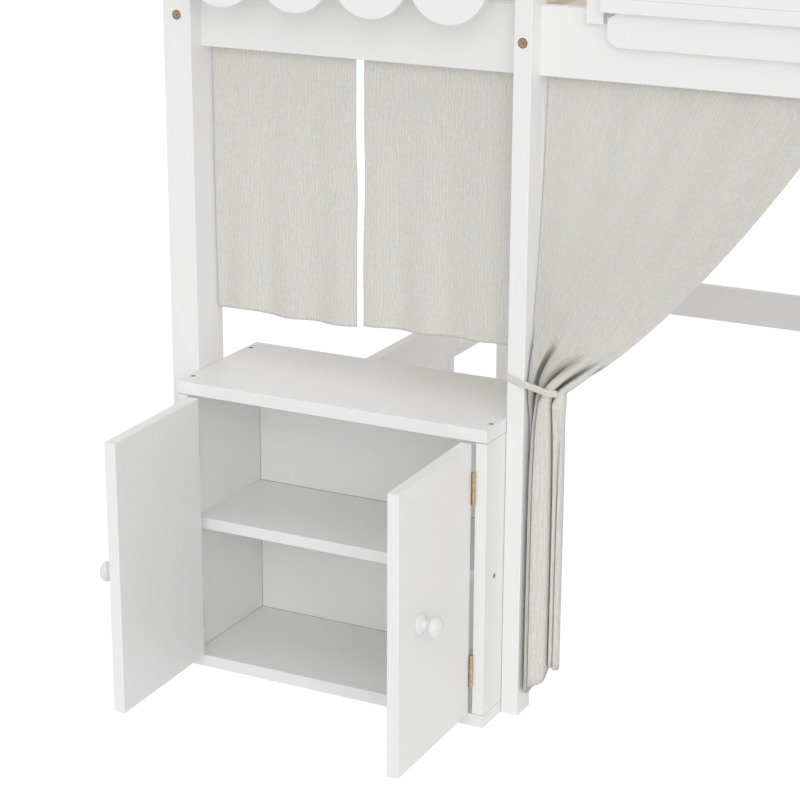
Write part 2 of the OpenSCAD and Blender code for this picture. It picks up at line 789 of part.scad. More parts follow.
// Knuckle heights in thirds: the frame leaf carries the outer two, the door leaf the middle
knuckle_h = (hinge_h - 2 * knuckle_fit) / 3;
mid_knuckle_z = knuckle_h + knuckle_fit;
leaf_clear = knuckle_r + knuckle_fit;

module knuckle(z) {
  translate([0, 0, z]) cylinder(r = knuckle_r, h = knuckle_h);
}

// A leaf plate lies beside the pin's axis, in the gap between door and side panel
module leaf_plate(y0, z, h) {
  translate([door_gap / 2 - leaf_t, y0, z]) cube([leaf_t, leaf_w + pin_out - y0, h]);
}

module pin_bore() {
  translate([0, 0, -1]) cylinder(r = pin_r + pin_fit, h = hinge_h + 2);
}

module door_leaf() {
  difference() {
    union() {
      knuckle(mid_knuckle_z);
      leaf_plate(leaf_clear, 0, hinge_h);
      leaf_plate(pin_r, mid_knuckle_z, knuckle_h);
    }
    pin_bore();
  }
}

module frame_leaf() {
  difference() {
    union() {
      for (z = [0, hinge_h - knuckle_h]) {
        knuckle(z);
        leaf_plate(pin_r, z, knuckle_h);
      }
      leaf_plate(leaf_clear, 0, hinge_h);
    }
    pin_bore();
  }
}

module left_hinge_leaves() {
  color(BRASS) left_swing() for (z = hinge_zs) translate([0, 0, z]) door_leaf();
}

module right_hinge_leaves() {
  color(BRASS) right_swing() for (z = hinge_zs) translate([0, 0, z]) door_leaf();
}

module frame_hinge_leaves() {
  color(BRASS) place() for (z = hinge_zs) {
    translate([left_pin_x, pin_y, z]) mirror([1, 0, 0]) frame_leaf();
    translate([right_pin_x, pin_y, z]) frame_leaf();
  }
}

module hinge_pins() {
  pin_head_t = 1.2;
  color(BRASS) place() for (x = [left_pin_x, right_pin_x], z = hinge_zs)
    translate([x, pin_y, z]) {
      translate([0, 0, 0.5]) cylinder(r = pin_r, h = hinge_h - 0.5);
      translate([0, 0, hinge_h]) cylinder(r = knuckle_r - 0.3, h = pin_head_t);
    }
}

// Fasteners

// Threads are left out: a shank runs plain through its nut
module rail_bolts() {
  color(STEEL) place() for (b = BOLTS) translate(b[0]) toward(b[1]) {
    translate([0, 0, b[2] - head_t]) cylinder(r = head_r, h = head_t);
    translate([0, 0, b[2] - 0.5]) cylinder(r = bolt_r, h = b[3] - b[2] + nut_r + 3);
  }
}

module bolt_nuts() {
  color(STEEL) place() for (b = BOLTS) difference() {
    nut = b[0] + b[1] * b[3];
    if (b[4] == 0)
      translate(nut) toward(b[1]) cylinder(r = nut_r, h = nut_l, center = true);
    else
      translate(nut) across(b[1], b[4]) cylinder(r = nut_r, h = nut_l, center = true);
    translate(b[0]) toward(b[1]) cylinder(r = bolt_r + hole_fit / 2, h = b[3] + nut_l);
  }
}

module cap_plugs() {
  color(BROWN) place() for (b = BOLTS) if (b[6])
    translate(b[0] - b[1] * cap_proud) toward(b[1])
      cylinder(r = head_r, h = b[2] - head_t + cap_proud - seat_gap);
}

module cupboard_dowels() {
  color(BROWN) place() for (p = PEGS) peg(p);
}

module frame_dowels() {
  color(PINE) place() for (d = DOWELS) dowel(d);
}

// Curtains

function mix(a, b, t) = a + (b - a) * t;
function ease(t) = t * t * (3 - 2 * t);

// Smooth curve drawn towards a list of points, for t from 0 to 1
function curve(points, t) =
  let (spans = len(points) - 2,
       i = min(floor(t * spans), spans - 1),
       s = t * spans - i)
  (points[i] * (1 - s) * (1 - s) + points[i + 1] * (1 + 2 * s - 2 * s * s)
    + points[i + 2] * s * s) / 2;

function bend(a, b, c, t) = mix(mix(a, b, t), mix(b, c, t), t);

// Moves each point of a grid sideways, square to its row, to give the cloth its thickness
function shifted(grid, by) = [for (row = grid) let (last = len(row) - 1) [
  for (j = [0 : last])
    let (run = row[min(j + 1, last)] - row[max(j - 1, 0)],
         side = [run.y, -run.x, 0] / norm([run.x, run.y]))
    row[j] + side * by]];

// Closed solid of a cloth whose middle surface is a grid of points
module cloth(grid, thickness) {
  rows = len(grid);
  cols = len(grid[0]);
  n = rows * cols;
  points = concat([for (row = shifted(grid, thickness / 2), p = row) p],
    [for (row = shifted(grid, -thickness / 2), p = row) p]);
  front = [for (i = [0 : rows - 2], j = [0 : cols - 2]) let (a = i * cols + j)
    each [[a, a + 1, a + cols + 1], [a, a + cols + 1, a + cols]]];
  back = [for (t = front) [t[0] + n, t[2] + n, t[1] + n]];
  rim_h = [for (j = [0 : cols - 2], e = [0, 1]) let (a = e * (rows - 1) * cols + j)
    each e == 0 ? [[a, a + n, a + 1], [a + 1, a + n, a + n + 1]]
      : [[a, a + 1, a + n], [a + 1, a + n + 1, a + n]]];
  rim_v = [for (i = [0 : rows - 2], e = [0, 1]) let (a = i * cols + e * (cols - 1))
    each e == 0 ? [[a, a + cols, a + n], [a + cols, a + cols + n, a + n]]
      : [[a, a + n, a + cols], [a + cols, a + n, a + cols + n]]];
  polyhedron(points, concat(front, back, rim_h, rim_v));
}

// A cafe curtain's shallow folds deepen towards its wavy hem
module cafe_curtain(x0, x1, hem, folds, phase) {
  cols = 26;
  rows = 6;
  fold_depth = 3.6;
  hem_wave = 1.2;
  color(LINEN) place() cloth([for (i = [0 : rows]) [for (j = [0 : cols])
    let (u = j / cols, v = i / rows, wave = sin(360 * folds * u + phase),
         z1 = hem + hem_wave * sin(360 * folds * u + phase + 60))
    [mix(x0, x1, u), cafe_y + fold_depth * v * v * wave, mix(curtain_top, z1, v)]]], cloth_t);
}

cafe_x0 = cafe_margin;
cafe_x1 = cafe_x0 + cafe_left_w;
cafe_x2 = cafe_x1 + cafe_gap;
cafe_x3 = side_bay_w - cafe_margin;

module left_cafe_curtain() { cafe_curtain(cafe_x0, cafe_x1, cafe_hem, 3, 40); }
module right_cafe_curtain() { cafe_curtain(cafe_x2, cafe_x3, cafe_hem + 4, 3, 200); }

// Drawn from the door post's inner front edge, at [0, 0]. A thread of the cloth at u runs
// from the rail down to the tie, and on in the bundle to its hem.
module long_curtain(plane_y, top_z) {
  cols = 34;
  upper = 12;
  lower = 4;
  top_x = [3, long_reach];
  elbow_x = [2, mix(tie_base[1].x, long_reach, 0.436)];
  elbow_z = [mix(tie_z, top_z, 0.5), mix(tie_z, top_z, 0.22)];
  hang = [for (i = [0 : upper - 1]) [for (j = [0 : cols])
    let (u = j / cols, t = pow(1 - i / upper, 1.3),
         pleat = pow(max(0, 1 - t / fan_start), 2),
         base = mix(tie_base[0], tie_base[1], u),
         fold = (curve(tie_section, u) - base) * pleat,
         path = bend([base.x, tie_z], [mix(elbow_x[0], elbow_x[1], u), mix(elbow_z[0], elbow_z[1], u)],
           [mix(top_x[0], top_x[1], u), top_z], t),
         y = mix(plane_y, base.y, (1 - t) * (1 - t)) + ripple * sin(360 * 5 * u) * t)
    [path.x + fold.x, y + fold.y, path.y]]];
  bundle = [for (i = [0 : lower]) [for (j = [0 : cols])
    let (u = j / cols, t = i / lower,
         p = mix(curve(tie_section, u), curve(foot_section, u), ease(t)))
    [p.x, p.y, mix(tie_z, long_hem_z + long_hem_rise * u, t)]]];
  cloth(concat(hang, bundle), cloth_t);
}

module left_long_curtain() {
  color(LINEN) place() translate([left_door_x + door_post_w, 0, 0]) long_curtain(long_y, curtain_top);
}

module right_long_curtain() {
  color(LINEN) place() translate([right_door_x, 0, 0]) mirror([1, 0, 0])
    long_curtain(rear_long_y, rear_curtain_top);
}

// A band round a door post and its curtain, sewn to the cloth between two pleats
module tie_band() {
  grid = [for (e = [0, 1]) [for (p = tie_route)
    [p.x, p.y, tie_z + (0.5 - e) * tie_h + tie_slope * p.x]]];
  cloth(grid, tie_t);
}

module curtain_ties() {
  color(LINEN) place() {
    translate([left_door_x + door_post_w, 0, 0]) tie_band();
    translate([right_door_x, 0, 0]) mirror([1, 0, 0]) tie_band();
  }
}

// Hook tapes: three stand on the front rail's back, one lies under the ledger
module curtain_tapes() {
  door_x = left_door_x + door_post_w;
  spans = [[cafe_x0, cafe_x1], [cafe_x2, cafe_x3], [door_x + 3, door_x + long_reach]];
  tape_z = curtain_top - tape_h;
  color(WHITE) place() {
    for (s = spans)
      translate([s[0], rail_back, tape_z]) cube([s[1] - s[0], tape_t, tape_h]);
    translate([right_door_x - long_reach, rail_back, slat_z - ledger - tape_t])
      cube([long_reach - 3, tape_h, tape_t]);
  }
}

module curtain_battens() {
  z0 = cafe_hem - 4;
  color(WHITE) place() both_halves()
    board([left_door_x + (door_post_w - batten.x) / 2, door_post_d, z0],
      [left_door_x + (door_post_w + batten.x) / 2, door_post_d + batten.y, rail_z], "z");
}

front_left_post();
front_right_post();
back_left_post();
back_right_post();
left_door_post();
right_door_post();
front_side_rail();
back_side_rail();
left_end_rail();
right_end_rail();
back_low_rail();
left_low_rail();
right_low_rail();
front_ledger();
back_ledger();
centre_beam();
slats();
front_guards();
back_guards();
right_end_guards();
left_end_guards();
window_stiles();
window_top_rail();
window_cross();
window_sill();
window_apron();
planter_front();
planter_walls();
awning_valance();
awning_roof();
awning_brackets();
ladder_front_stile();
ladder_back_stile();
ladder_rungs();
cupboard_top();
cupboard_base();
cupboard_left_side();
cupboard_right_side();
cupboard_back();
cupboard_shelf();
left_door();
right_door();
left_knob();
right_knob();
frame_hinge_leaves();
hinge_pins();
left_hinge_leaves();
right_hinge_leaves();
rail_bolts();
bolt_nuts();
cap_plugs();
cupboard_dowels();
frame_dowels();
curtain_tapes();
curtain_battens();
left_cafe_curtain();
right_cafe_curtain();
left_long_curtain();
right_long_curtain();
curtain_ties();
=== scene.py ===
"""Looks of the loft bed: camera, light, materials, curtains, knobs, caps and screws.

Lengths in the piece builders are millimetres in the drawing frame of the CAD source: X along the
bed from the left corner post's inner face, Y back from the post fronts, Z up from the floor.
"""

import math

import bpy
import numpy as np
from mathutils import Euler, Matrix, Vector


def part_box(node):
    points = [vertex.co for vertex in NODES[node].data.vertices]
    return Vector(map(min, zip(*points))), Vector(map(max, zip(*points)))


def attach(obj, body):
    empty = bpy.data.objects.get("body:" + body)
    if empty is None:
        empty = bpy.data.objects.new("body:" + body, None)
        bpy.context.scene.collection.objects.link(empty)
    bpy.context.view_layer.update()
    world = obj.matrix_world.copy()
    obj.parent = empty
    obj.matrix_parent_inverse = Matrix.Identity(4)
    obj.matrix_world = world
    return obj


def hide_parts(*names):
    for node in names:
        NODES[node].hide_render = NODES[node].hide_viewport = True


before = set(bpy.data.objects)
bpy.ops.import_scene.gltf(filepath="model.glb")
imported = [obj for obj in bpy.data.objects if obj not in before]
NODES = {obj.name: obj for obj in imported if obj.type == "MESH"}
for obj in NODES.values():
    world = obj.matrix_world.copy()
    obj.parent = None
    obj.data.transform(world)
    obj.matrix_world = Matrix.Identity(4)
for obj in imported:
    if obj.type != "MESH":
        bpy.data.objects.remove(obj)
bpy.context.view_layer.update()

# Drawing frame, and the places and sizes that the pieces share with the CAD source
POST_LO, POST_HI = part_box("front_left_post")
ORIGIN = np.array([POST_HI.x, POST_LO.y, 0.0])
BAY = 540.0
INNER_L = 1920.0
BED_DEPTH = 1470.0
CORNER_POST_W = 49.0
DOOR_POST_W = 28.0
RIGHT_DOOR_POST_X = 1352.0
CURTAIN_TOP, RIGHT_CURTAIN_TOP = 1036.0, 1040.2
CAFE_Y, LONG_Y, RIGHT_LONG_Y = 54.55, 56.05, 68.05


def row(points):
    """Drawing millimetres to the row frame's metres."""
    return ORIGIN + np.asarray(points, float) * 0.001


def linked(name, data):
    """A new object in the scene."""
    obj = bpy.data.objects.new(name, data)
    bpy.context.scene.collection.objects.link(obj)
    return obj


# Camera, solved from the photo's parallel edges: its turn in degrees, place, lens and shift

CAMERA_AZIMUTH, CAMERA_ELEVATION = 27.890, 18.857
CAMERA_AT = (1930.5, -3062.9, 1580.3)
CAMERA_LENS, CAMERA_SENSOR = 106.27, 36
CAMERA_SHIFT = (0.03744, 0.0620)


def make_camera():
    azimuth, elevation = math.radians(CAMERA_AZIMUTH), math.radians(CAMERA_ELEVATION)
    data = bpy.data.cameras.new("camera")
    data.lens, data.sensor_width = CAMERA_LENS, CAMERA_SENSOR
    data.shift_x, data.shift_y = CAMERA_SHIFT
    data.clip_start, data.clip_end = 0.05, 200
    camera = linked("camera", data)
    camera.location = row(CAMERA_AT)
    camera.rotation_euler = Euler((math.pi / 2 - elevation, 0, azimuth))
    bpy.context.scene.camera = camera


make_camera()

# Materials


class Nodes:
    """Short calls for the nodes of one tree."""

    def __init__(self, tree):
        self.tree = tree

    def node(self, kind, inputs=None, **settings):
        n = self.tree.nodes.new(kind)
        for key, value in settings.items():
            setattr(n, key, value)
        for key, value in (inputs or {}).items():
            self.put(n.inputs[key], value)
        return n

    def put(self, socket, value):
        if isinstance(value, bpy.types.NodeSocket):
            self.tree.links.new(value, socket)
        else:
            socket.default_value = value

    def math(self, operation, a, b=0.0):
        return self.node("ShaderNodeMath", {0: a, 1: b}, operation=operation).outputs[0]

    def shown(self):
        """1 for rays that show a surface to the camera, straight or by metal or glass, and 0 for others."""
        rays = self.node("ShaderNodeLightPath").outputs
        beyond = self.math("MAXIMUM", rays["Is Glossy Ray"], rays["Is Transmission Ray"])
        return self.math("MAXIMUM", rays["Is Camera Ray"], beyond)


class Recipe(Nodes):
    """One material with a Principled shader. Places are in metres."""

    def __init__(self, name, **constants):
        self.material = bpy.data.materials.new(name)
        self.material.use_nodes = True
        super().__init__(self.material.node_tree)
        self.shader = self.tree.nodes["Principled BSDF"]
        for socket, value in constants.items():
            self.shader.inputs[socket.replace("_", " ")].default_value = value

    def done(self, colour, roughness, normal):
        """Links the shader's three main inputs, and gives the material."""
        for socket, value in (("Base Color", colour), ("Roughness", roughness), ("Normal", normal)):
            self.put(self.shader.inputs[socket], value)
        return self.material

    def coords(self, space):
        return self.node("ShaderNodeTexCoord").outputs[space]

    def scaled(self, vector, scale):
        return self.node("ShaderNodeMapping", {"Vector": vector, "Scale": scale}).outputs[0]

    def place(self, scale=(1, 1, 1)):
        return self.scaled(self.coords("Object"), scale)

    def split(self, vector):
        return self.node("ShaderNodeSeparateXYZ", {0: vector}).outputs

    def noise(self, vector, scale=1.0, detail=3.0, rough=0.5):
        inputs = {"Vector": vector, "Scale": scale, "Detail": detail, "Roughness": rough}
        return self.node("ShaderNodeTexNoise", inputs).outputs[0]

    def ramp(self, value, stops):
        n = self.node("ShaderNodeValToRGB", {"Fac": value})
        e = n.color_ramp.elements
        while len(e) < len(stops):
            e.new(0.5)
        for i, (at, colour) in enumerate(stops):
            e[i].position = at
            e[i].color = (*colour, 1)
        return n.outputs["Color"]

    def blend(self, fac, a, b, kind="MIX"):
        """Mixes two colours, each a socket or three numbers."""
        n = self.node("ShaderNodeMix", {0: fac}, data_type="RGBA", blend_type=kind)
        for socket, colour in ((6, a), (7, b)):
            self.put(n.inputs[socket], (*colour, 1) if isinstance(colour, tuple) else colour)
        return n.outputs[2]

    def range(self, value, lo, hi, from_lo=0.0, from_hi=1.0):
        inputs = {"Value": value, "From Min": from_lo, "From Max": from_hi, "To Min": lo, "To Max": hi}
        return self.node("ShaderNodeMapRange", inputs).outputs[0]

    def waves(self, value, pitch):
        """A sine of a length, from -1 to 1."""
        return self.math("SINE", self.math("MULTIPLY", value, 2 * math.pi / pitch))

    def bump(self, height, distance, strength=1.0, normal=None):
        inputs = {"Height": height, "Distance": distance, "Strength": strength}
        if normal is not None:
            inputs["Normal"] = normal
        return self.node("ShaderNodeBump", inputs).outputs[0]


def along(axis, fine, long):
    """Mapping scale for a pattern drawn out along one axis."""
    return tuple(long if i == "xyz".index(axis) else fine for i in range(3))


# Half the width of the dark line at a joint between boards, in metres, and its colour
JOINT_W = 0.0012
JOINT_COLOUR = (0.30, 0.295, 0.285)


def white_paint(axis, suffix="", joints=()):
    """Satin white paint over wood whose grain runs along one axis. A joint is a dark line where the
    board crosses a plane, given as the plane's axis number and place."""
    r = Recipe(f"white_paint_{axis}{suffix}", Specular_IOR_Level=0.45, Coat_Weight=0.12, Coat_Roughness=0.3)
    grain = r.noise(r.place(along(axis, 260, 9)), 1.0, 4, 0.6)
    peel = r.noise(r.place(), 900, 2)
    patch = r.noise(r.place(), 7)
    colour = r.ramp(patch, [(0.3, (0.872, 0.874, 0.870)), (0.7, (0.885, 0.885, 0.881))])
    speck = r.ramp(grain, [(0.25, (0.965, 0.963, 0.958)), (0.5, (1, 1, 1))])
    painted = r.blend(0.35, colour, speck, "MULTIPLY")
    place = r.split(r.place())
    for number, plane in joints:
        off = r.math("ABSOLUTE", r.math("SUBTRACT", place[number], plane))
        painted = r.blend(r.range(off, 0.8, 0, JOINT_W / 2, JOINT_W), painted, JOINT_COLOUR)
    fine = r.bump(peel, 0.00005)
    return r.done(painted, r.range(patch, 0.34, 0.46, 0.3, 0.7), r.bump(grain, 0.00006, 0.8, fine))


def knob_paint():
    r = Recipe("white_knob", Specular_IOR_Level=0.5, Coat_Weight=0.35, Coat_Roughness=0.12)
    patch = r.noise(r.place(), 40)
    peel = r.noise(r.place(), 1100, 2)
    colour = r.ramp(patch, [(0.3, (0.80, 0.80, 0.797)), (0.7, (0.83, 0.83, 0.827))])
    return r.done(colour, r.range(patch, 0.2, 0.3), r.bump(peel, 0.00003))


def pine(axis):
    """Bare planed pine: growth lines drawn out along the grain, with a few knots."""
    r = Recipe(f"pine_{axis}", Specular_IOR_Level=0.3)
    warp = r.noise(r.place(along(axis, 14, 1.3)), 1.0, 3, 0.55)
    base = r.place(along(axis, 1, 0.035))
    swirl = r.node("ShaderNodeTexNoise", {"Vector": base, "Scale": 11.0, "Detail": 2.0}).outputs["Color"]
    flow = r.node("ShaderNodeMix", {0: 0.018, 4: base, 5: swirl}, data_type="VECTOR").outputs[1]
    rings = r.node("ShaderNodeTexWave", {"Vector": flow, "Scale": 62.0, "Distortion": 2.2, "Detail": 2.0,
                                         "Detail Scale": 1.4},
                   wave_type="BANDS", bands_direction="DIAGONAL", wave_profile="SAW").outputs["Fac"]
    fibre = r.noise(r.place(along(axis, 1500, 22)), 1.0, 2)
    wood = r.ramp(rings, [(0.0, (0.830, 0.742, 0.610)), (0.55, (0.800, 0.697, 0.552)),
                          (0.93, (0.715, 0.595, 0.445))])
    tone = r.blend(r.range(warp, 0.0, 0.55, 0.3, 0.7), wood, (0.845, 0.765, 0.640))
    cell = r.node("ShaderNodeTexVoronoi", {"Vector": r.place(along(axis, 9, 2.6)), "Scale": 1.0,
                                           "Randomness": 1.0}, feature="F1").outputs["Distance"]
    knot = r.ramp(cell, [(0.045, (1, 1, 1)), (0.085, (0, 0, 0))])
    knotted = r.blend(r.math("MULTIPLY", knot, 0.5), tone, (0.42, 0.26, 0.15))
    lines = r.bump(rings, 0.00012)
    return r.done(knotted, r.range(fibre, 0.52, 0.68), r.bump(fibre, 0.00010, 1.0, lines))


# Pitches of the cloth's ribs and of its threads, in metres
RIB, WARP, WEFT = 0.0052, 0.0008, 0.0009


def linen():
    """Crinkled ribs along the threads over a fine plain weave. UV is in metres of flat cloth."""
    r = Recipe("linen", Specular_IOR_Level=0.15, Sheen_Weight=0.12, Sheen_Roughness=0.5)
    uv = r.coords("UV")
    u, v = r.split(uv)[:2]

    def stretched(across, down, detail=2.0):
        return r.noise(r.scaled(uv, (across, down, 1)), 1.0, detail, 0.55)

    wander = r.range(stretched(70, 24), -0.0030, 0.0030, 0.25, 0.75)
    ribs = r.range(r.waves(r.math("ADD", u, wander), RIB), 0, 1, -1, 1)
    crinkle = stretched(420, 55, 3.0)
    slub = stretched(900, 20)
    grain = stretched(260, 160, 1.0)
    height = r.math("ADD", r.math("MULTIPLY", ribs, 0.35), r.math("MULTIPLY", crinkle, 0.5))
    height = r.math("ADD", height, r.math("MULTIPLY", grain, 0.9))
    weave = r.range(r.math("MULTIPLY", r.waves(u, WARP), r.waves(v, WEFT)), 0, 1, -1, 1)
    # Painted shade: the colour is darker where the ribs, crinkles and grain are low, following the height
    # that the bump uses
    shade = r.range(height, 0.0, 1.0, 0.55, 1.20)
    colour = r.blend(shade, (0.712, 0.698, 0.661), (0.818, 0.803, 0.769))
    warm = r.ramp(stretched(160, 60), [(0.35, (0.985, 1.0, 1.005)), (0.65, (1.0, 0.975, 0.945))])
    thread = r.ramp(slub, [(0.2, (0.965, 0.962, 0.955)), (0.6, (1.0, 1.0, 1.0))])
    tinted = r.blend(1.0, r.blend(1.0, colour, warm, "MULTIPLY"), thread, "MULTIPLY")
    woven = r.bump(weave, 0.00018)
    return r.done(tinted, r.range(crinkle, 0.86, 0.96), r.bump(height, 0.0006, 1.0, woven))


def thread_material():
    r = Recipe("sewing_thread", Specular_IOR_Level=0.25, Sheen_Weight=0.1)
    twist = r.noise(r.place((900, 900, 900)), 1.0, 2)
    colour = r.ramp(twist, [(0.3, (0.56, 0.55, 0.51)), (0.7, (0.69, 0.68, 0.64))])
    return r.done(colour, r.range(twist, 0.6, 0.8), r.bump(twist, 0.00008))


def tape_material():
    """Woven tape with a fine herringbone."""
    r = Recipe("white_tape", Specular_IOR_Level=0.2, Sheen_Weight=0.1)
    p = r.place()
    x, _, z = r.split(p)
    zig = r.math("PINGPONG", r.math("MULTIPLY", x, 250.0), 1.0)
    line = r.waves(r.math("ADD", r.math("MULTIPLY", z, 900.0), zig), 1.0)
    loops = r.noise(p, 1500, 2, 0.6)
    colour = r.ramp(line, [(0.0, (0.76, 0.76, 0.755)), (1.0, (0.82, 0.82, 0.815))])
    return r.done(colour, r.range(loops, 0.8, 0.95), r.bump(loops, 0.0002, 1.0, r.bump(line, 0.0001)))


def metal(name, light, dark, rough, scale):
    r = Recipe(name, Metallic=1.0)
    tarnish = r.noise(r.place(), scale, 4, 0.6)
    brushed = r.noise(r.place((60, 60, 3000)), 1.0, 2)
    colour = r.blend(r.range(tarnish, 0, 1, 0.3, 0.7), dark, light)
    roughness = r.range(tarnish, rough + 0.12, rough, 0.3, 0.7)
    return r.done(colour, roughness, r.bump(brushed, 0.00003, 0.6, r.bump(tarnish, 0.00003)))


# How far a bolt cap's dimple lies off its centre, and its radius, in millimetres
DIMPLE_OFF, DIMPLE_R = 1.1, 1.75


def cap_material():
    """Brown plastic, with painted shade at the rim for the shadow round the cap, and in the dimple. UV is in
    millimetres from the cap's centre.
    """
    r = Recipe("brown_plug", Specular_IOR_Level=0.35)
    grain = r.noise(r.place((700, 700, 700)), 1.0, 3, 0.6)
    broad = r.noise(r.place((90, 90, 90)), 1.0, 2)
    tone = r.ramp(grain, [(0.3, (0.315, 0.205, 0.118)), (0.7, (0.405, 0.278, 0.170))])
    face = r.blend(r.range(broad, 0, 0.4), tone, (0.43, 0.30, 0.19))
    across = r.coords("UV")

    def away(centre):
        return r.node("ShaderNodeVectorMath", {0: across, 1: centre}, operation="DISTANCE").outputs["Value"]

    # Painted shade: a dark ring at the rim for the shadow round the cap, and a dark spot for the shade inside
    # the dimple
    rim = r.range(away((0, 0, 0)), 0, 1, 6.0, 6.9)
    dimple = r.range(away((DIMPLE_OFF, 0, 0)), 0.8, 0, 0.7, 1.7)
    dark = r.math("MAXIMUM", r.math("MULTIPLY", rim, 0.55), dimple)
    return r.done(r.blend(dark, face, (0.13, 0.085, 0.05)), r.range(grain, 0.45, 0.6), r.bump(grain, 0.00005))


def dowel_end_material():
    """Beech dowels, whose ends show as end grain."""
    r = Recipe("dowel_wood", Specular_IOR_Level=0.3)
    pores = r.noise(r.place((1900, 1900, 1900)), 1.0, 3, 0.6)
    rings = r.node("ShaderNodeTexWave", {"Vector": r.place(), "Scale": 260.0, "Distortion": 3.0},
                   wave_type="RINGS").outputs["Fac"]
    tone = r.ramp(rings, [(0.1, (0.36, 0.25, 0.145)), (0.9, (0.25, 0.165, 0.09))])
    colour = r.blend(r.range(pores, 0, 0.5, 0.4, 0.7), tone, (0.16, 0.10, 0.055))
    return r.done(colour, r.range(pores, 0.6, 0.75), r.bump(pores, 0.00006))


PAINT = {a: white_paint(a) for a in "xyz"}
# The cupboard's side and back boards, with the joints to the boards between them
BASE_TOP, SHELF_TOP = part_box("cupboard_base")[1].z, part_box("cupboard_shelf")[1].z
LEFT_INSIDE, RIGHT_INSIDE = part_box("cupboard_left_side")[1].x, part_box("cupboard_right_side")[0].x
SIDE_PAINT = white_paint("z", "_side", ((2, BASE_TOP), (2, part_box("cupboard_top")[0].z)))
BACK_PAINT = white_paint("x", "_back", ((0, LEFT_INSIDE), (0, RIGHT_INSIDE), (2, BASE_TOP), (2, SHELF_TOP)))
PINE = {a: pine(a) for a in "xy"}
LINEN = linen()
THREAD = thread_material()
TAPE = tape_material()
KNOB = knob_paint()
BRASS = metal("brass", (0.66, 0.50, 0.33), (0.40, 0.28, 0.16), 0.34, 220)
ZINC = metal("zinc_steel", (0.74, 0.75, 0.77), (0.55, 0.56, 0.58), 0.28, 120)
CAP = cap_material()
DOWEL = dowel_end_material()

ALONG_X = """front_side_rail back_side_rail back_low_rail front_ledger back_ledger front_guards back_guards
window_top_rail window_sill window_apron planter_front planter_walls awning_valance cupboard_top cupboard_base
cupboard_back cupboard_shelf""".split()
ALONG_Y = """left_end_rail right_end_rail left_low_rail right_low_rail right_end_guards left_end_guards
awning_roof awning_brackets ladder_rungs""".split()
FINISH = {"slats": PINE["y"], "centre_beam": PINE["x"], "frame_dowels": PINE["x"], "curtain_tapes": TAPE,
          "frame_hinge_leaves": BRASS, "left_hinge_leaves": BRASS, "right_hinge_leaves": BRASS,
          "hinge_pins": BRASS, "rail_bolts": ZINC, "bolt_nuts": ZINC, "cap_plugs": CAP,
          "cupboard_dowels": DOWEL, "cupboard_left_side": SIDE_PAINT, "cupboard_right_side": SIDE_PAINT,
          "cupboard_back": BACK_PAINT}
for name, obj in NODES.items():
    material = FINISH.get(name) or PAINT["x" if name in ALONG_X else "y" if name in ALONG_Y else "z"]
    obj.data.materials.clear()
    obj.data.materials.append(material)

# Building pieces


def piece(name, points, faces, material, body="bed", uv=None, smooth=True):
    """A mesh from drawing millimetres that rides on a body."""
    mesh = bpy.data.meshes.new(name)
    mesh.from_pydata(row(points).tolist(), [], faces)
    mesh.update()
    if uv is not None:
        layer = mesh.uv_layers.new(name="flat")
        at = np.empty(len(mesh.loops), dtype=np.int64)
        mesh.loops.foreach_get("vertex_index", at)
        layer.data.foreach_set("uv", np.asarray(uv, np.float32)[at].ravel())
    mesh.polygons.foreach_set("use_smooth", [smooth] * len(mesh.polygons))
    mesh.materials.append(material)
    obj = linked(name, mesh)
    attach(obj, body)
    return obj


def grid_faces(rows, cols, start, flip):
    """Four-cornered faces of a grid of points that begins at one number."""
    a = start + np.arange(rows - 1)[:, None] * cols + np.arange(cols - 1)[None, :]
    quads = np.stack([a, a + 1, a + cols + 1, a + cols], -1).reshape(-1, 4)
    return quads[:, ::-1] if flip else quads


def cloth_piece(name, grid, half, uv, flip=False):
    """A closed shell round a grid of points. half is half the cloth's thickness at each point."""
    rows, cols = grid.shape[:2]
    normal = np.cross(np.gradient(grid, axis=1), np.gradient(grid, axis=0))
    normal /= np.maximum(np.linalg.norm(normal, axis=2, keepdims=True), 1e-9)
    front = grid + normal * half[..., None]
    back = grid - normal * half[..., None]
    points = np.concatenate([front.reshape(-1, 3), back.reshape(-1, 3)])
    n = rows * cols
    faces = [grid_faces(rows, cols, 0, flip), grid_faces(rows, cols, n, not flip)]
    edge = np.concatenate([np.arange(cols), np.arange(1, rows) * cols + cols - 1,
                           (rows - 1) * cols + np.arange(cols - 2, -1, -1),
                           np.arange(rows - 2, -1, -1) * cols])
    rim = np.stack([edge[:-1], edge[:-1] + n, edge[1:] + n, edge[1:]], -1)
    faces.append(rim[:, ::-1] if flip else rim)
    faces = np.concatenate(faces).tolist()
    return piece(name, points, faces, LINEN, uv=np.concatenate([uv, uv]))


def turned(profile, sides):
    """Points and faces of a closed form turned about Z from a list of (radius, height)."""
    profile = np.asarray(profile, float)
    angle = np.arange(sides) * 2 * math.pi / sides
    ring = np.stack([np.cos(angle), np.sin(angle)], -1)
    points = [[0, 0, profile[0][1]]]
    for r, z in profile:
        points += [[x * r, y * r, z] for x, y in ring]
    points.append([0, 0, profile[-1][1]])
    faces = [[0, 1 + (j + 1) % sides, 1 + j] for j in range(sides)]
    for i in range(len(profile) - 1):
        a, b = 1 + i * sides, 1 + (i + 1) * sides
        faces += [[a + j, a + (j + 1) % sides, b + (j + 1) % sides, b + j] for j in range(sides)]
    last = 1 + (len(profile) - 1) * sides
    faces += [[last + j, last + (j + 1) % sides, len(points) - 1] for j in range(sides)]
    return np.array(points, float), faces


def joined(parts):
    """Joins several (points, faces) into one."""
    points, faces, n = [], [], 0
    for p, f in parts:
        points.append(p)
        faces += [[i + n for i in face] for face in f]
        n += len(p)
    return np.concatenate(points), faces


def turned_to(points, way):
    """Turns the Z axis to a way along X, Y or Z."""
    m = Vector((0, 0, 1)).rotation_difference(Vector(way)).to_matrix()
    return np.asarray(points) @ np.array(m).T


# Cloth


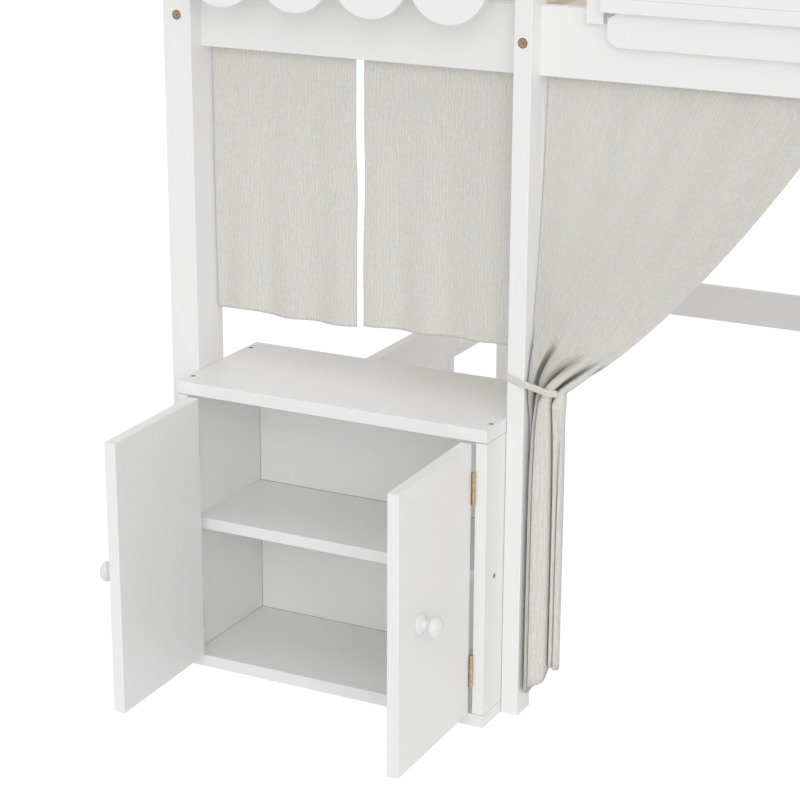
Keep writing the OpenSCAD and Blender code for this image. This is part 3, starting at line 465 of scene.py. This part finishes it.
def spline(points, s):
    """Points of a smooth curve drawn towards a list of points, for s from 0 to 1."""
    p = np.asarray(points, float)
    spans = len(p) - 2
    x = np.clip(s, 0, 1) * spans
    i = np.minimum(x.astype(int), spans - 1)
    f = (x - i)[:, None]
    return (p[i] * (1 - f) ** 2 + p[i + 1] * (1 + 2 * f - 2 * f * f) + p[i + 2] * f * f) / 2


def mix(a, b, t):
    return a + (b - a) * t


def step(a, b, x):
    """0 up to a and 1 from b on, with an even rise between."""
    t = np.clip((x - a) / (b - a), 0, 1)
    return t * t * (3 - 2 * t)


def lengths(points):
    """Distance from the start of a line of points, or down each column of a grid."""
    d = np.linalg.norm(np.diff(points, axis=0), axis=-1)
    return np.concatenate([np.zeros_like(d[:1]), np.cumsum(d, axis=0)])


def half_thickness(sizes, from_hem, from_side):
    """Half the cloth's thickness at each point: more where its hem and sides are turned over. sizes
    has the cloth's alone, then for hem and side what is added and where that starts and ends."""
    alone, hem, hem_edge, side, side_edge = sizes
    return alone + hem * (1 - step(*hem_edge, from_hem)) + side * (1 - step(*side_edge, from_side))


CAFE_HALF = (0.5, 0.28, (13.5, 15.0), 0.18, (6.5, 7.6))
CAFE_FOLDS, CAFE_FOLD_DEPTH = 3, 3.6
# The hem's wave in height and how far it runs ahead of the folds, in degrees, and how wide the
# place is where the hem lifts, as a share of the panel
HEM_WAVE, HEM_AHEAD, LIFT_W = 0.5, 60, 0.13
WRINKLE = 0.2
# The hem's stitches: the row's height above the hem, its distance from both sides, and the size of
# a stitch, with how far it bows out of the cloth at places along it
SEAM_UP, SEAM_IN = 12.2, 3.0
STITCH_PITCH, STITCH_L, STITCH_R = 3.6, 2.5, 0.28
STITCH_BOW = (-0.05, 0.15, 0.2, 0.15, -0.05)


def cafe_curtain(name, x0, x1, hem, phase, free_side, lift, lift_at):
    """A flat panel whose shallow folds deepen towards its wavy hem. The hem rises by lift at one place
    across it, and the free side sways."""
    cols, rows = 150, 96
    width, drop = x1 - x0, CURTAIN_TOP - hem
    u = np.linspace(0, 1, cols)[None, :]
    v = np.linspace(0, 1, rows)[:, None]
    turn = 2 * math.pi * CAFE_FOLDS * u
    wave = HEM_WAVE * np.sin(turn + math.radians(phase + HEM_AHEAD))
    z1 = hem + wave + lift * np.exp(-((u - lift_at) / LIFT_W) ** 2)
    wrinkle = (np.sin(23 * u + 5 * v + phase) + 0.7 * np.sin(41 * u - 7 * v + 2 * phase)
               + 0.5 * np.sin(9 * v + 3 * u)) * WRINKLE * step(0.08, 0.5, v)
    side = u if free_side == "right" else 1 - u
    sway = (1.1 * np.sin(7.3 * v + 0.4 * phase) + 0.6 * np.sin(15.1 * v)) * step(0.15, 0.5, v)
    x = mix(x0, x1, u) + sway * step(0.8, 1, side)
    y = CAFE_Y + CAFE_FOLD_DEPTH * v * v * np.sin(turn + math.radians(phase)) + wrinkle
    grid = np.stack([x, y, mix(CURTAIN_TOP, z1, v)], -1)
    down = np.broadcast_to(v * drop, x.shape)
    flat_u = np.broadcast_to(u * width, x.shape)
    half = half_thickness(CAFE_HALF, drop - down, np.minimum(flat_u, width - flat_u))
    uv = np.stack([flat_u * 0.001 + phase, -down * 0.001], -1).reshape(-1, 2)
    obj = cloth_piece(f"{name}_cloth", grid, half, uv)
    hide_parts(name)
    stitches = seam(f"{name}_stitches", grid, SEAM_UP / drop, half)


def seam(name, grid, up, half):
    """A row of stitches across a panel, on both faces, at a share of its height above the hem."""
    rows, cols = grid.shape[:2]
    i = (1 - up) * (rows - 1)
    low = int(i)
    line = mix(grid[low], grid[low + 1], i - low)
    run = lengths(line)
    out = half[low][cols // 2] + np.array(STITCH_BOW)
    share = np.linspace(0, 1, len(out))
    parts = []
    for k in range(int((run[-1] - 2 * SEAM_IN) / STITCH_PITCH)):
        at = SEAM_IN + k * STITCH_PITCH + STITCH_L * share
        for face in (-1, 1):
            path = np.stack([np.interp(at, run, line[:, j]) for j in range(3)], -1)
            path[:, 1] += face * out
            parts.append(thread_bit(path, STITCH_R))
    points, faces = joined(parts)
    return piece(name, points, faces, THREAD)


def thread_bit(path, r):
    """A short tube along a few points, closed at its narrower ends."""
    sides = 6
    tangent = np.gradient(path, axis=0)
    tangent /= np.linalg.norm(tangent, axis=1, keepdims=True)
    side = np.cross(tangent, (0.0, 0.0, 1.0))
    side /= np.linalg.norm(side, axis=1, keepdims=True)
    top = np.cross(side, tangent)
    angle = np.arange(sides) * 2 * math.pi / sides
    shrink = np.ones(len(path))
    shrink[[0, -1]] = 0.35
    points = [path[i] + r * shrink[i] * (math.cos(a) * side[i] + math.sin(a) * top[i])
              for i in range(len(path)) for a in angle]
    faces = []
    for a in range(0, (len(path) - 1) * sides, sides):
        faces += [[a + j, a + (j + 1) % sides, a + sides + (j + 1) % sides, a + sides + j]
                  for j in range(sides)]
    faces += [list(range(sides))[::-1], [(len(path) - 1) * sides + j for j in range(sides)]]
    return np.array(points), faces


# Sections of the gathered bundle, from the door post's inner front edge: inside the tie, just
# below it, and at the foot. The same places along all three belong to the same threads.
TIE_SECTION = [
    (3.6, 44), (2.4, 32), (2.6, 12), (3.4, 4.6), (13.4, 5.2), (5.2, 15), (5.0, 48), (10.2, 46),
    (13.2, 19), (17.5, 15.5), (20.2, 15.5), (21.8, 20), (21.9, 34), (22.6, 49), (23.6, 34),
    (23.8, 12), (26.5, 7), (33.5, 6.8), (37.2, 10), (36.6, 22), (34.8, 38), (36.2, 52), (39.4, 46),
    (40.4, 32), (40.6, 20.5), (46.5, 18.5), (53, 21.5), (55.8, 28), (54, 35.5), (48.5, 43),
    (44, 50.5), (43, 53.5), (44, 50), (46, 42), (48.5, 34)
]
BELOW_SECTION = [
    (4, 44), (3, 32), (3, 14), (3.6, 5), (8.8, 5.6), (4.7, 13.5), (4.9, 47), (8.4, 46), (10.8, 18),
    (13.6, 13), (15.8, 14), (17.3, 18), (17.7, 32), (18.4, 47), (19.2, 32), (18.9, 9.8),
    (20.4, 7.8), (28.5, 7.2), (35.2, 9.5), (35, 22), (34, 38), (35.3, 52), (37.6, 44), (37.6, 28),
    (37.6, 14.5), (45, 13), (52, 17), (56.2, 25), (55, 33), (49, 42), (44, 50.5), (42.6, 53.5),
    (43.8, 50), (46, 42), (48.5, 33)
]
FOOT_SECTION = [
    (3, 46), (2.5, 38), (2.5, 30), (3.2, 24), (5, 27), (6, 36), (7.4, 46), (8.6, 34), (5.6, 15),
    (7, 6.4), (9.6, 7), (10.9, 8.8), (11.2, 30), (12, 42), (12.8, 30), (12.4, 9.2), (14, 7.4),
    (33, 8.2), (37.8, 11.2), (37.4, 24), (36.5, 38), (38, 50), (39.8, 40), (40, 28), (41.6, 19.5),
    (45.2, 19), (46.6, 34), (48, 19.5), (53.5, 22), (55.5, 29), (51.5, 40), (47.5, 48), (46.3, 51),
    (47.3, 45), (49.8, 36)
]
SECTIONS = (TIE_SECTION, BELOW_SECTION, FOOT_SECTION)
# Places along the sections, by the number of the point, and the share of the cloth's width up to
# each: the first fold's left edge, its right lip, the valley behind it, the second fold's left and
# right edges, and the two valleys to its right
FOLDS = ((3, 0.04), (4, 0.27), (6.5, 0.33), (8.3, 0.40), (10.5, 0.56), (13, 0.71), (21, 0.90))
# The hem's height at places across the cloth, and how many threads to each side smooth it
HEM = ((0, 28), (0.42, 38), (0.72, 44), (0.78, 47), (0.83, 66), (0.88, 80), (0.93, 85), (0.965, 78),
       (1, 79))
HEM_SMOOTH = 8
# The tie's height at the door post, its slope, and the ends of the line that the cloth fans in to
TIE_Z, TIE_SLOPE = 540.0, 0.28
TIE_BASE = ((3.0, 8.0), (52.0, 30.0))
# How far up the pleats hold their shape and where they end, as shares of the way from tie to tape
PLEAT_HOLD, PLEAT_END = 0.04, 0.19
# Below the tie: the drops between which its section turns into the one below, and the length over
# which that one then turns into the foot's. Above it: the height over which the cloth leaves the post
TIE_TO_BELOW, BELOW_TO_FOOT, OFF_POST = (3, 20), 60, 32
# Where each thread's curve bends on its way from tie to head: how far out, as a share of the way of
# the last thread, and how far up for the first and the last thread
BEND_OUT, BEND_UP = 0.436, (0.5, 0.22)
# The rows of points crowd towards the tie by this power
CROWDING = 1.5
# How far the cloth's head reaches from the door post, and the cloth's width in its pattern
LONG_REACH, LONG_WIDTH = 477.0, 474.0
LONG_HALF = (0.55, 0.12, (17, 20), 0.1, (6.5, 9))


def thread_places(count):
    """Spline places of evenly spaced threads, each pleat taking its own share of the cloth."""
    s = np.linspace(0, 1, 6000)
    run = sum(lengths(spline(section, s)) for section in SECTIONS) / len(SECTIONS)
    ends = [0] + [(k - 0.5) / (len(TIE_SECTION) - 2) for k, _ in FOLDS] + [1]
    shares = [0] + [share for _, share in FOLDS] + [1]
    at = np.interp(np.linspace(0, 1, count), shares, np.interp(ends, s, run))
    return np.interp(at, run, s)


def beside_post(grid, post_x, mirrored):
    """From distances inward of a door post's inner face to drawing X."""
    grid[..., 0] = post_x - grid[..., 0] if mirrored else post_x + grid[..., 0]
    return grid


def long_curtain(name, post_x, mirrored, plane_y, top_z):
    """A panel that fans in from its tape to the tie, and hangs on in pleats to a slanting hem."""
    cols, upper, lower = 330, 72, 48
    s = thread_places(cols)
    u = np.linspace(0, 1, cols)
    tie, below, foot = (spline(section, s) for section in SECTIONS)
    ax, ay = (mix(near, far, u) for near, far in zip(*TIE_BASE))
    base = np.stack([ax, ay], -1)
    tie_z = TIE_Z - TIE_SLOPE * ax
    # Each thread's way from the tie bends at (bx, bz) and ends at its head (cx, top_z)
    bx = mix(2, mix(TIE_BASE[1][0], LONG_REACH, BEND_OUT), u)
    bz = mix(*(mix(TIE_Z, top_z, up) for up in BEND_UP), u)
    cx = mix(3, LONG_REACH, u)
    rows = []
    for i in range(upper):
        t = (1 - i / upper) ** CROWDING
        fold = (tie - base) * (1 - step(PLEAT_HOLD, PLEAT_END, t))
        x = mix(mix(ax, bx, t), mix(bx, cx, t), t)
        z = mix(mix(tie_z, bz, t), mix(bz, top_z, t), t)
        x = ax + (x - ax) * (1 - (1 - u * u) * np.exp((tie_z - z) / OFF_POST))
        y = mix(plane_y, ay, (1 - t) ** 2) + 1.5 * np.sin(2 * math.pi * 5 * u) * t
        drape = (1.6 * np.sin(19 * u + 1.3 + 2 * t) + 0.8 * np.sin(37 * u + 3 * t)) * t * (1 - t)
        rows.append(np.stack([x + fold[:, 0], y + fold[:, 1] + drape, z], -1))
    window = 2 * HEM_SMOOTH + 1
    hem = np.pad(np.interp(u, *zip(*HEM)), HEM_SMOOTH, "edge")
    hem = np.convolve(hem, np.full(window, 1 / window), "valid")
    for i in range(lower + 1):
        z = mix(tie_z, hem, (i / lower) ** CROWDING)
        drop = (tie_z - z)[:, None]
        lower_share = 1 - np.exp(-np.maximum(drop - TIE_TO_BELOW[1], 0) / BELOW_TO_FOOT)
        p = mix(mix(tie, below, step(*TIE_TO_BELOW, drop)), foot, lower_share)
        rows.append(np.concatenate([p, z[:, None]], 1))
    grid = np.array(rows)
    down = lengths(grid)
    flat_u = np.broadcast_to(u * LONG_WIDTH, down.shape)
    half = half_thickness(LONG_HALF, down[-1] - down, np.minimum(flat_u, LONG_WIDTH - flat_u))
    uv = np.stack([flat_u * 0.001 + 1.37 * mirrored, -down * 0.001], -1).reshape(-1, 2)
    obj = cloth_piece(f"{name}_cloth", beside_post(grid, post_x, mirrored), half, uv, flip=mirrored)
    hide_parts(name)


# The tie's way from its end on the pleats, across them and round the door post
TIE_ROUTE = [
    (47.6, 17.2), (46, 16.4), (43.5, 13.6), (40.4, 8.4), (37, 5.2), (33, 4.2), (22, 3.2), (12, 2),
    (4, 0), (0, -1.5), (-28.4, -1.5), (-29.3, -0.6), (-29.3, 47.2), (-28.4, 48.1), (0, 48.1),
    (14, 48.3), (26, 49.1)
]
# Half the tie's width and thickness, the length of its rounded end, and its sag
TIE_HALF_W, TIE_HALF, TIE_END, TIE_SAG = 5.5, 0.62, 3.5, 0.35


def tie_band(name, post_x, mirrored):
    """A strip that slants down over the pleats, with a rounded end and a slight sag."""
    cols, rows = 220, 15
    s = np.linspace(0, 1, 3000)
    run = lengths(spline(TIE_ROUTE, s))
    flat = np.linspace(0, run[-1], cols)
    route = spline(TIE_ROUTE, np.interp(flat, run, s))
    x, y = (np.broadcast_to(route[:, axis], (rows, cols)) for axis in range(2))
    v = np.linspace(-1, 1, rows)[:, None]
    t = np.linspace(0, 1, cols)
    sag = TIE_SAG * np.sin(t * 41) * np.sin(t * 13)
    end = np.minimum(flat / TIE_END, 1)
    z = TIE_Z - v * TIE_HALF_W * np.sqrt(1 - 0.85 * (1 - end) ** 2) - TIE_SLOPE * x + sag
    grid = beside_post(np.stack([x, y, z], -1), post_x, mirrored)
    half = np.broadcast_to(TIE_HALF * np.sqrt(np.clip(1 - np.abs(v) ** 6, 0.12, 1)), (rows, cols))
    uv = np.stack(np.broadcast_arrays(v * TIE_HALF_W * 0.001, flat * 0.001), -1).reshape(-1, 2)
    obj = cloth_piece(name, grid, half, uv, flip=mirrored)
    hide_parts("curtain_ties")


cafe_curtain("left_cafe_curtain", 5, 257, hem=572.5, phase=40, free_side="right", lift=4.5, lift_at=0.2)
cafe_curtain("right_cafe_curtain", 271, 535, hem=578.0, phase=200, free_side="left", lift=1.5, lift_at=0.68)
long_curtain("left_long_curtain", BAY + DOOR_POST_W, False, LONG_Y, CURTAIN_TOP)
long_curtain("right_long_curtain", RIGHT_DOOR_POST_X, True, RIGHT_LONG_Y, RIGHT_CURTAIN_TOP)
tie_band("left_tie_band", BAY + DOOR_POST_W, False)
tie_band("right_tie_band", RIGHT_DOOR_POST_X, True)

# Doors: knobs and hinge screws, placed from each door's pin

PIN_X = {"left": 19.9, "right": 520.1}
PIN_Y = -68.9
# How far the doors stand open, in degrees
OPENED = {"left": -88.0, "right": 91.5}
# From the pin to the door's front face, to its free edge and to each leaf's face
PIN_OUT, DOOR_TIP, LEAF_FACE = 3.3, 249.1, 0.1
# From the free edge to the knob
KNOB_IN = {"left": 34.0, "right": 72.0}
KNOB_Z = 238.0
KNOB_FOOT = [(0.6, 0), (16.6, 0), (17, 0.4), (17, 1.6), (16.6, 2.4), (15.6, 3.3), (13.6, 4.3), (11.3, 5.4),
             (9.3, 6.8), (8.0, 8.4), (7.3, 10.2), (7.1, 12.0), (7.2, 13.6), (7.6, 14.6)]
# The head is part of a flattened ball, drawn from this angle below its widest place
KNOB_HEAD_R, KNOB_HEAD_RISE, KNOB_HEAD_OUT, KNOB_HEAD_FROM = 16.2, 10.4, 24.0, -58
HINGE_ZS = (67.4, 363.6)
LEAF_SCREWS = ((15.8, 8.5), (9.2, 25.5), (15.8, 42.5))
# A screw head's rings, and how far it stands over the leaf and reaches into it
SCREW_RADII = (0.0, 0.25, 0.5, 0.8, 1.1, 1.5, 1.9, 2.3, 2.6, 2.8)
SCREW_UP, SCREW_UNDER = 0.04, 0.3
RECESS_HALF_W, RECESS_HALF_L, RECESS_DEPTH = 0.42, 1.75, 0.75


def swung(points, side):
    """From the closed door's own frame, at its pin, to where the door stands open."""
    p = np.asarray(points, float).copy()
    if side == "right":
        p[:, 0] *= -1
    a = math.radians(OPENED[side])
    x, y = p[:, 0].copy(), p[:, 1].copy()
    p[:, 0] = PIN_X[side] + x * math.cos(a) - y * math.sin(a)
    p[:, 1] = PIN_Y + x * math.sin(a) + y * math.cos(a)
    return p


def knob(side):
    """Rose, waisted neck and mushroom head."""
    angles = [math.radians(a) for a in range(KNOB_HEAD_FROM, 90, 4)]
    head = [(KNOB_HEAD_R * math.cos(a), KNOB_HEAD_OUT + KNOB_HEAD_RISE * math.sin(a)) for a in angles]
    points, faces = turned(KNOB_FOOT + head, sides=72)
    points = turned_to(points, (0, -1, 0)) + np.array([DOOR_TIP - KNOB_IN[side], PIN_OUT, KNOB_Z])
    points = swung(points, side)
    obj = piece(f"{side}_turned_knob", points, faces, KNOB, f"{side}_cupboard_door")
    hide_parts(f"{side}_knob")


def screw_head(at, facing):
    """A flush countersunk head with a cross recess, at a point on a leaf, facing along X."""
    sides, rim = 48, SCREW_RADII[-1]
    ring = [(math.cos(2 * math.pi * j / sides), math.sin(2 * math.pi * j / sides)) for j in range(sides)]
    points = []
    for r in SCREW_RADII:
        for c, s in ring:
            near, far = sorted((abs(r * c), abs(r * s)))
            recessed = near < RECESS_HALF_W and far < RECESS_HALF_L
            points.append((r * c, r * s, -RECESS_DEPTH if recessed else SCREW_UP))
    points += [(rim * c, rim * s, -SCREW_UNDER) for c, s in ring]
    rings = [range(i * sides, (i + 1) * sides) for i in range(len(SCREW_RADII) + 1)]
    faces = [[inner[j], inner[(j + 1) % sides], outer[(j + 1) % sides], outer[j]]
             for inner, outer in zip(rings, rings[1:]) for j in range(sides)]
    faces.append(list(rings[-1])[::-1])
    points = turned_to(points, (facing, 0, 0)) + np.asarray(at, float)
    return points, [f[::-1] for f in faces]


def leaf_screws(x, y, facing):
    """The screw heads of one side's leaf at both of a door's hinges."""
    return [screw_head((x, y + dy, z0 + dz), facing) for z0 in HINGE_ZS for dy, dz in LEAF_SCREWS]


def hinge_screws():
    """The screws of the leaves: on each door, in its own frame, and on the cupboard."""
    frame_parts = []
    for side, facing in (("left", 1), ("right", -1)):
        points, faces = joined(leaf_screws(LEAF_FACE, 0, -1))
        if side == "right":
            faces = [f[::-1] for f in faces]
        piece(f"{side}_door_hinge_screws", swung(points, side), faces, ZINC,
              f"{side}_cupboard_door", smooth=False)
        frame_parts += leaf_screws(PIN_X[side] - LEAF_FACE * facing, PIN_Y, facing)
    points, faces = joined(frame_parts)
    piece("frame_hinge_screws", points, faces, ZINC, smooth=False)


# Heights of the bolts through the posts, by the rail that they hold, and how far in the end rails'
# bolts are from the bed's front and back
SIDE_RAIL_BOLT_Z, LOW_RAIL_BOLT_Z = 1044, 294
END_RAIL_BOLT_ZS, LOW_END_RAIL_BOLT_ZS = (1012, 1076), (276, 312)
END_BOLT_IN = 42
# Radius and height of each ring of a cap, from the stem's end round the rim into the dimple
CAP_PROFILE = [(0.4, 7.0), (7.3, 7.0), (7.5, 6.6), (7.5, -0.35), (7.38, -0.62), (7.05, -0.78), (6.4, -0.8),
               (1.7, -0.62), (1.45, -0.5), (1.2, -0.15), (0.4, 0.05)]


def bolt_caps():
    """Press-in caps over the bolts, with a rounded rim and a small moulded dimple."""
    corner_mid, door_mid = CORNER_POST_W / 2, DOOR_POST_W / 2
    end_faces = ((-CORNER_POST_W, 1), (INNER_L + CORNER_POST_W, -1))
    back_y = BED_DEPTH - END_BOLT_IN
    starts = [((x, y, z), (0, way, 0)) for z in (SIDE_RAIL_BOLT_Z, LOW_RAIL_BOLT_Z)
              for x in (-corner_mid, INNER_L + corner_mid) for y, way in ((0, 1), (BED_DEPTH, -1))]
    starts += [((x, y, z), (way, 0, 0)) for z in END_RAIL_BOLT_ZS for x, way in end_faces
               for y in (END_BOLT_IN, back_y)]
    starts += [((x, back_y, z), (way, 0, 0)) for z in LOW_END_RAIL_BOLT_ZS for x, way in end_faces]
    starts += [((x, 0, SIDE_RAIL_BOLT_Z), (0, 1, 0)) for x in (BAY + door_mid, RIGHT_DOOR_POST_X + door_mid)]
    points, faces = turned(CAP_PROFILE[::-1], sides=40)
    faces = [f[::-1] for f in faces]
    dimple = (np.hypot(points[:, 0], points[:, 1]) < DIMPLE_R) & (points[:, 2] < 1)
    points[dimple, 0] += DIMPLE_OFF
    uv = np.tile(points[:, :2], (len(starts), 1))
    points, faces = joined([(turned_to(points, way) + np.array(at, float), faces) for at, way in starts])
    obj = piece("bolt_caps", points, faces, CAP, uv=uv)
    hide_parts("cap_plugs")


knob("left")
knob("right")
hinge_screws()
bolt_caps()

# Floor, light and finish

WHITE = (1, 1, 1, 1)
FLOOR_HALF = 60
# The floor's colour in the bed's light, and what it shows the camera: a darker colour and a glow
FLOOR_COLOUR, FLOOR_SHOWN, FLOOR_GLOW = (0.92, 0.92, 0.92, 1), (0.22, 0.22, 0.22, 1), 0.89
AMBIENT = 0.60
# Azimuth, elevation, strength and width. Azimuth 0 shines along +Y, from the front, and 90 along -X
SUNS = {"key": (25, 15, 0.93, 50), "side": (62, 26, 0.27, 50), "top": (15, 70, 0.29, 60)}


def make_stage():
    mesh = bpy.data.meshes.new("floor")
    corners = [(x * FLOOR_HALF, y * FLOOR_HALF, 0) for x, y in ((-1, -1), (1, -1), (1, 1), (-1, 1))]
    mesh.from_pydata(corners, [], [(0, 1, 2, 3)])
    linked("floor", mesh)
    material = bpy.data.materials.new("floor")
    material.use_nodes = True
    n = Nodes(material.node_tree)
    n.tree.nodes.clear()
    lighting = n.node("ShaderNodeBsdfDiffuse", {"Color": FLOOR_COLOUR}).outputs[0]
    pale = n.node("ShaderNodeBsdfDiffuse", {"Color": FLOOR_SHOWN}).outputs[0]
    glow = n.node("ShaderNodeEmission", {"Strength": FLOOR_GLOW}).outputs[0]
    shown = n.node("ShaderNodeAddShader", {0: pale, 1: glow}).outputs[0]
    both = n.node("ShaderNodeMixShader", {0: n.shown(), 1: lighting, 2: shown}).outputs[0]
    n.node("ShaderNodeOutputMaterial", {0: both})
    mesh.materials.append(material)


def make_world():
    world = bpy.data.worlds.new("studio")
    world.use_nodes = True
    bpy.context.scene.world = world
    n = Nodes(world.node_tree)
    n.tree.nodes.clear()
    lighting = n.node("ShaderNodeBackground", {"Color": WHITE, "Strength": AMBIENT}).outputs[0]
    backdrop = n.node("ShaderNodeBackground", {"Color": WHITE, "Strength": 1.0}).outputs[0]
    both = n.node("ShaderNodeMixShader", {0: n.shown(), 1: lighting, 2: backdrop}).outputs[0]
    n.node("ShaderNodeOutputWorld", {0: both})


def make_suns():
    for name, (azimuth, elevation, strength, width) in SUNS.items():
        data = bpy.data.lights.new(name, "SUN")
        data.energy = strength
        data.angle = math.radians(width)
        turn = (math.pi / 2 - math.radians(elevation), 0, math.radians(azimuth))
        linked(name, data).rotation_euler = Euler(turn)


make_stage()
make_world()
make_suns()
bpy.context.scene.view_settings.view_transform = "Standard"
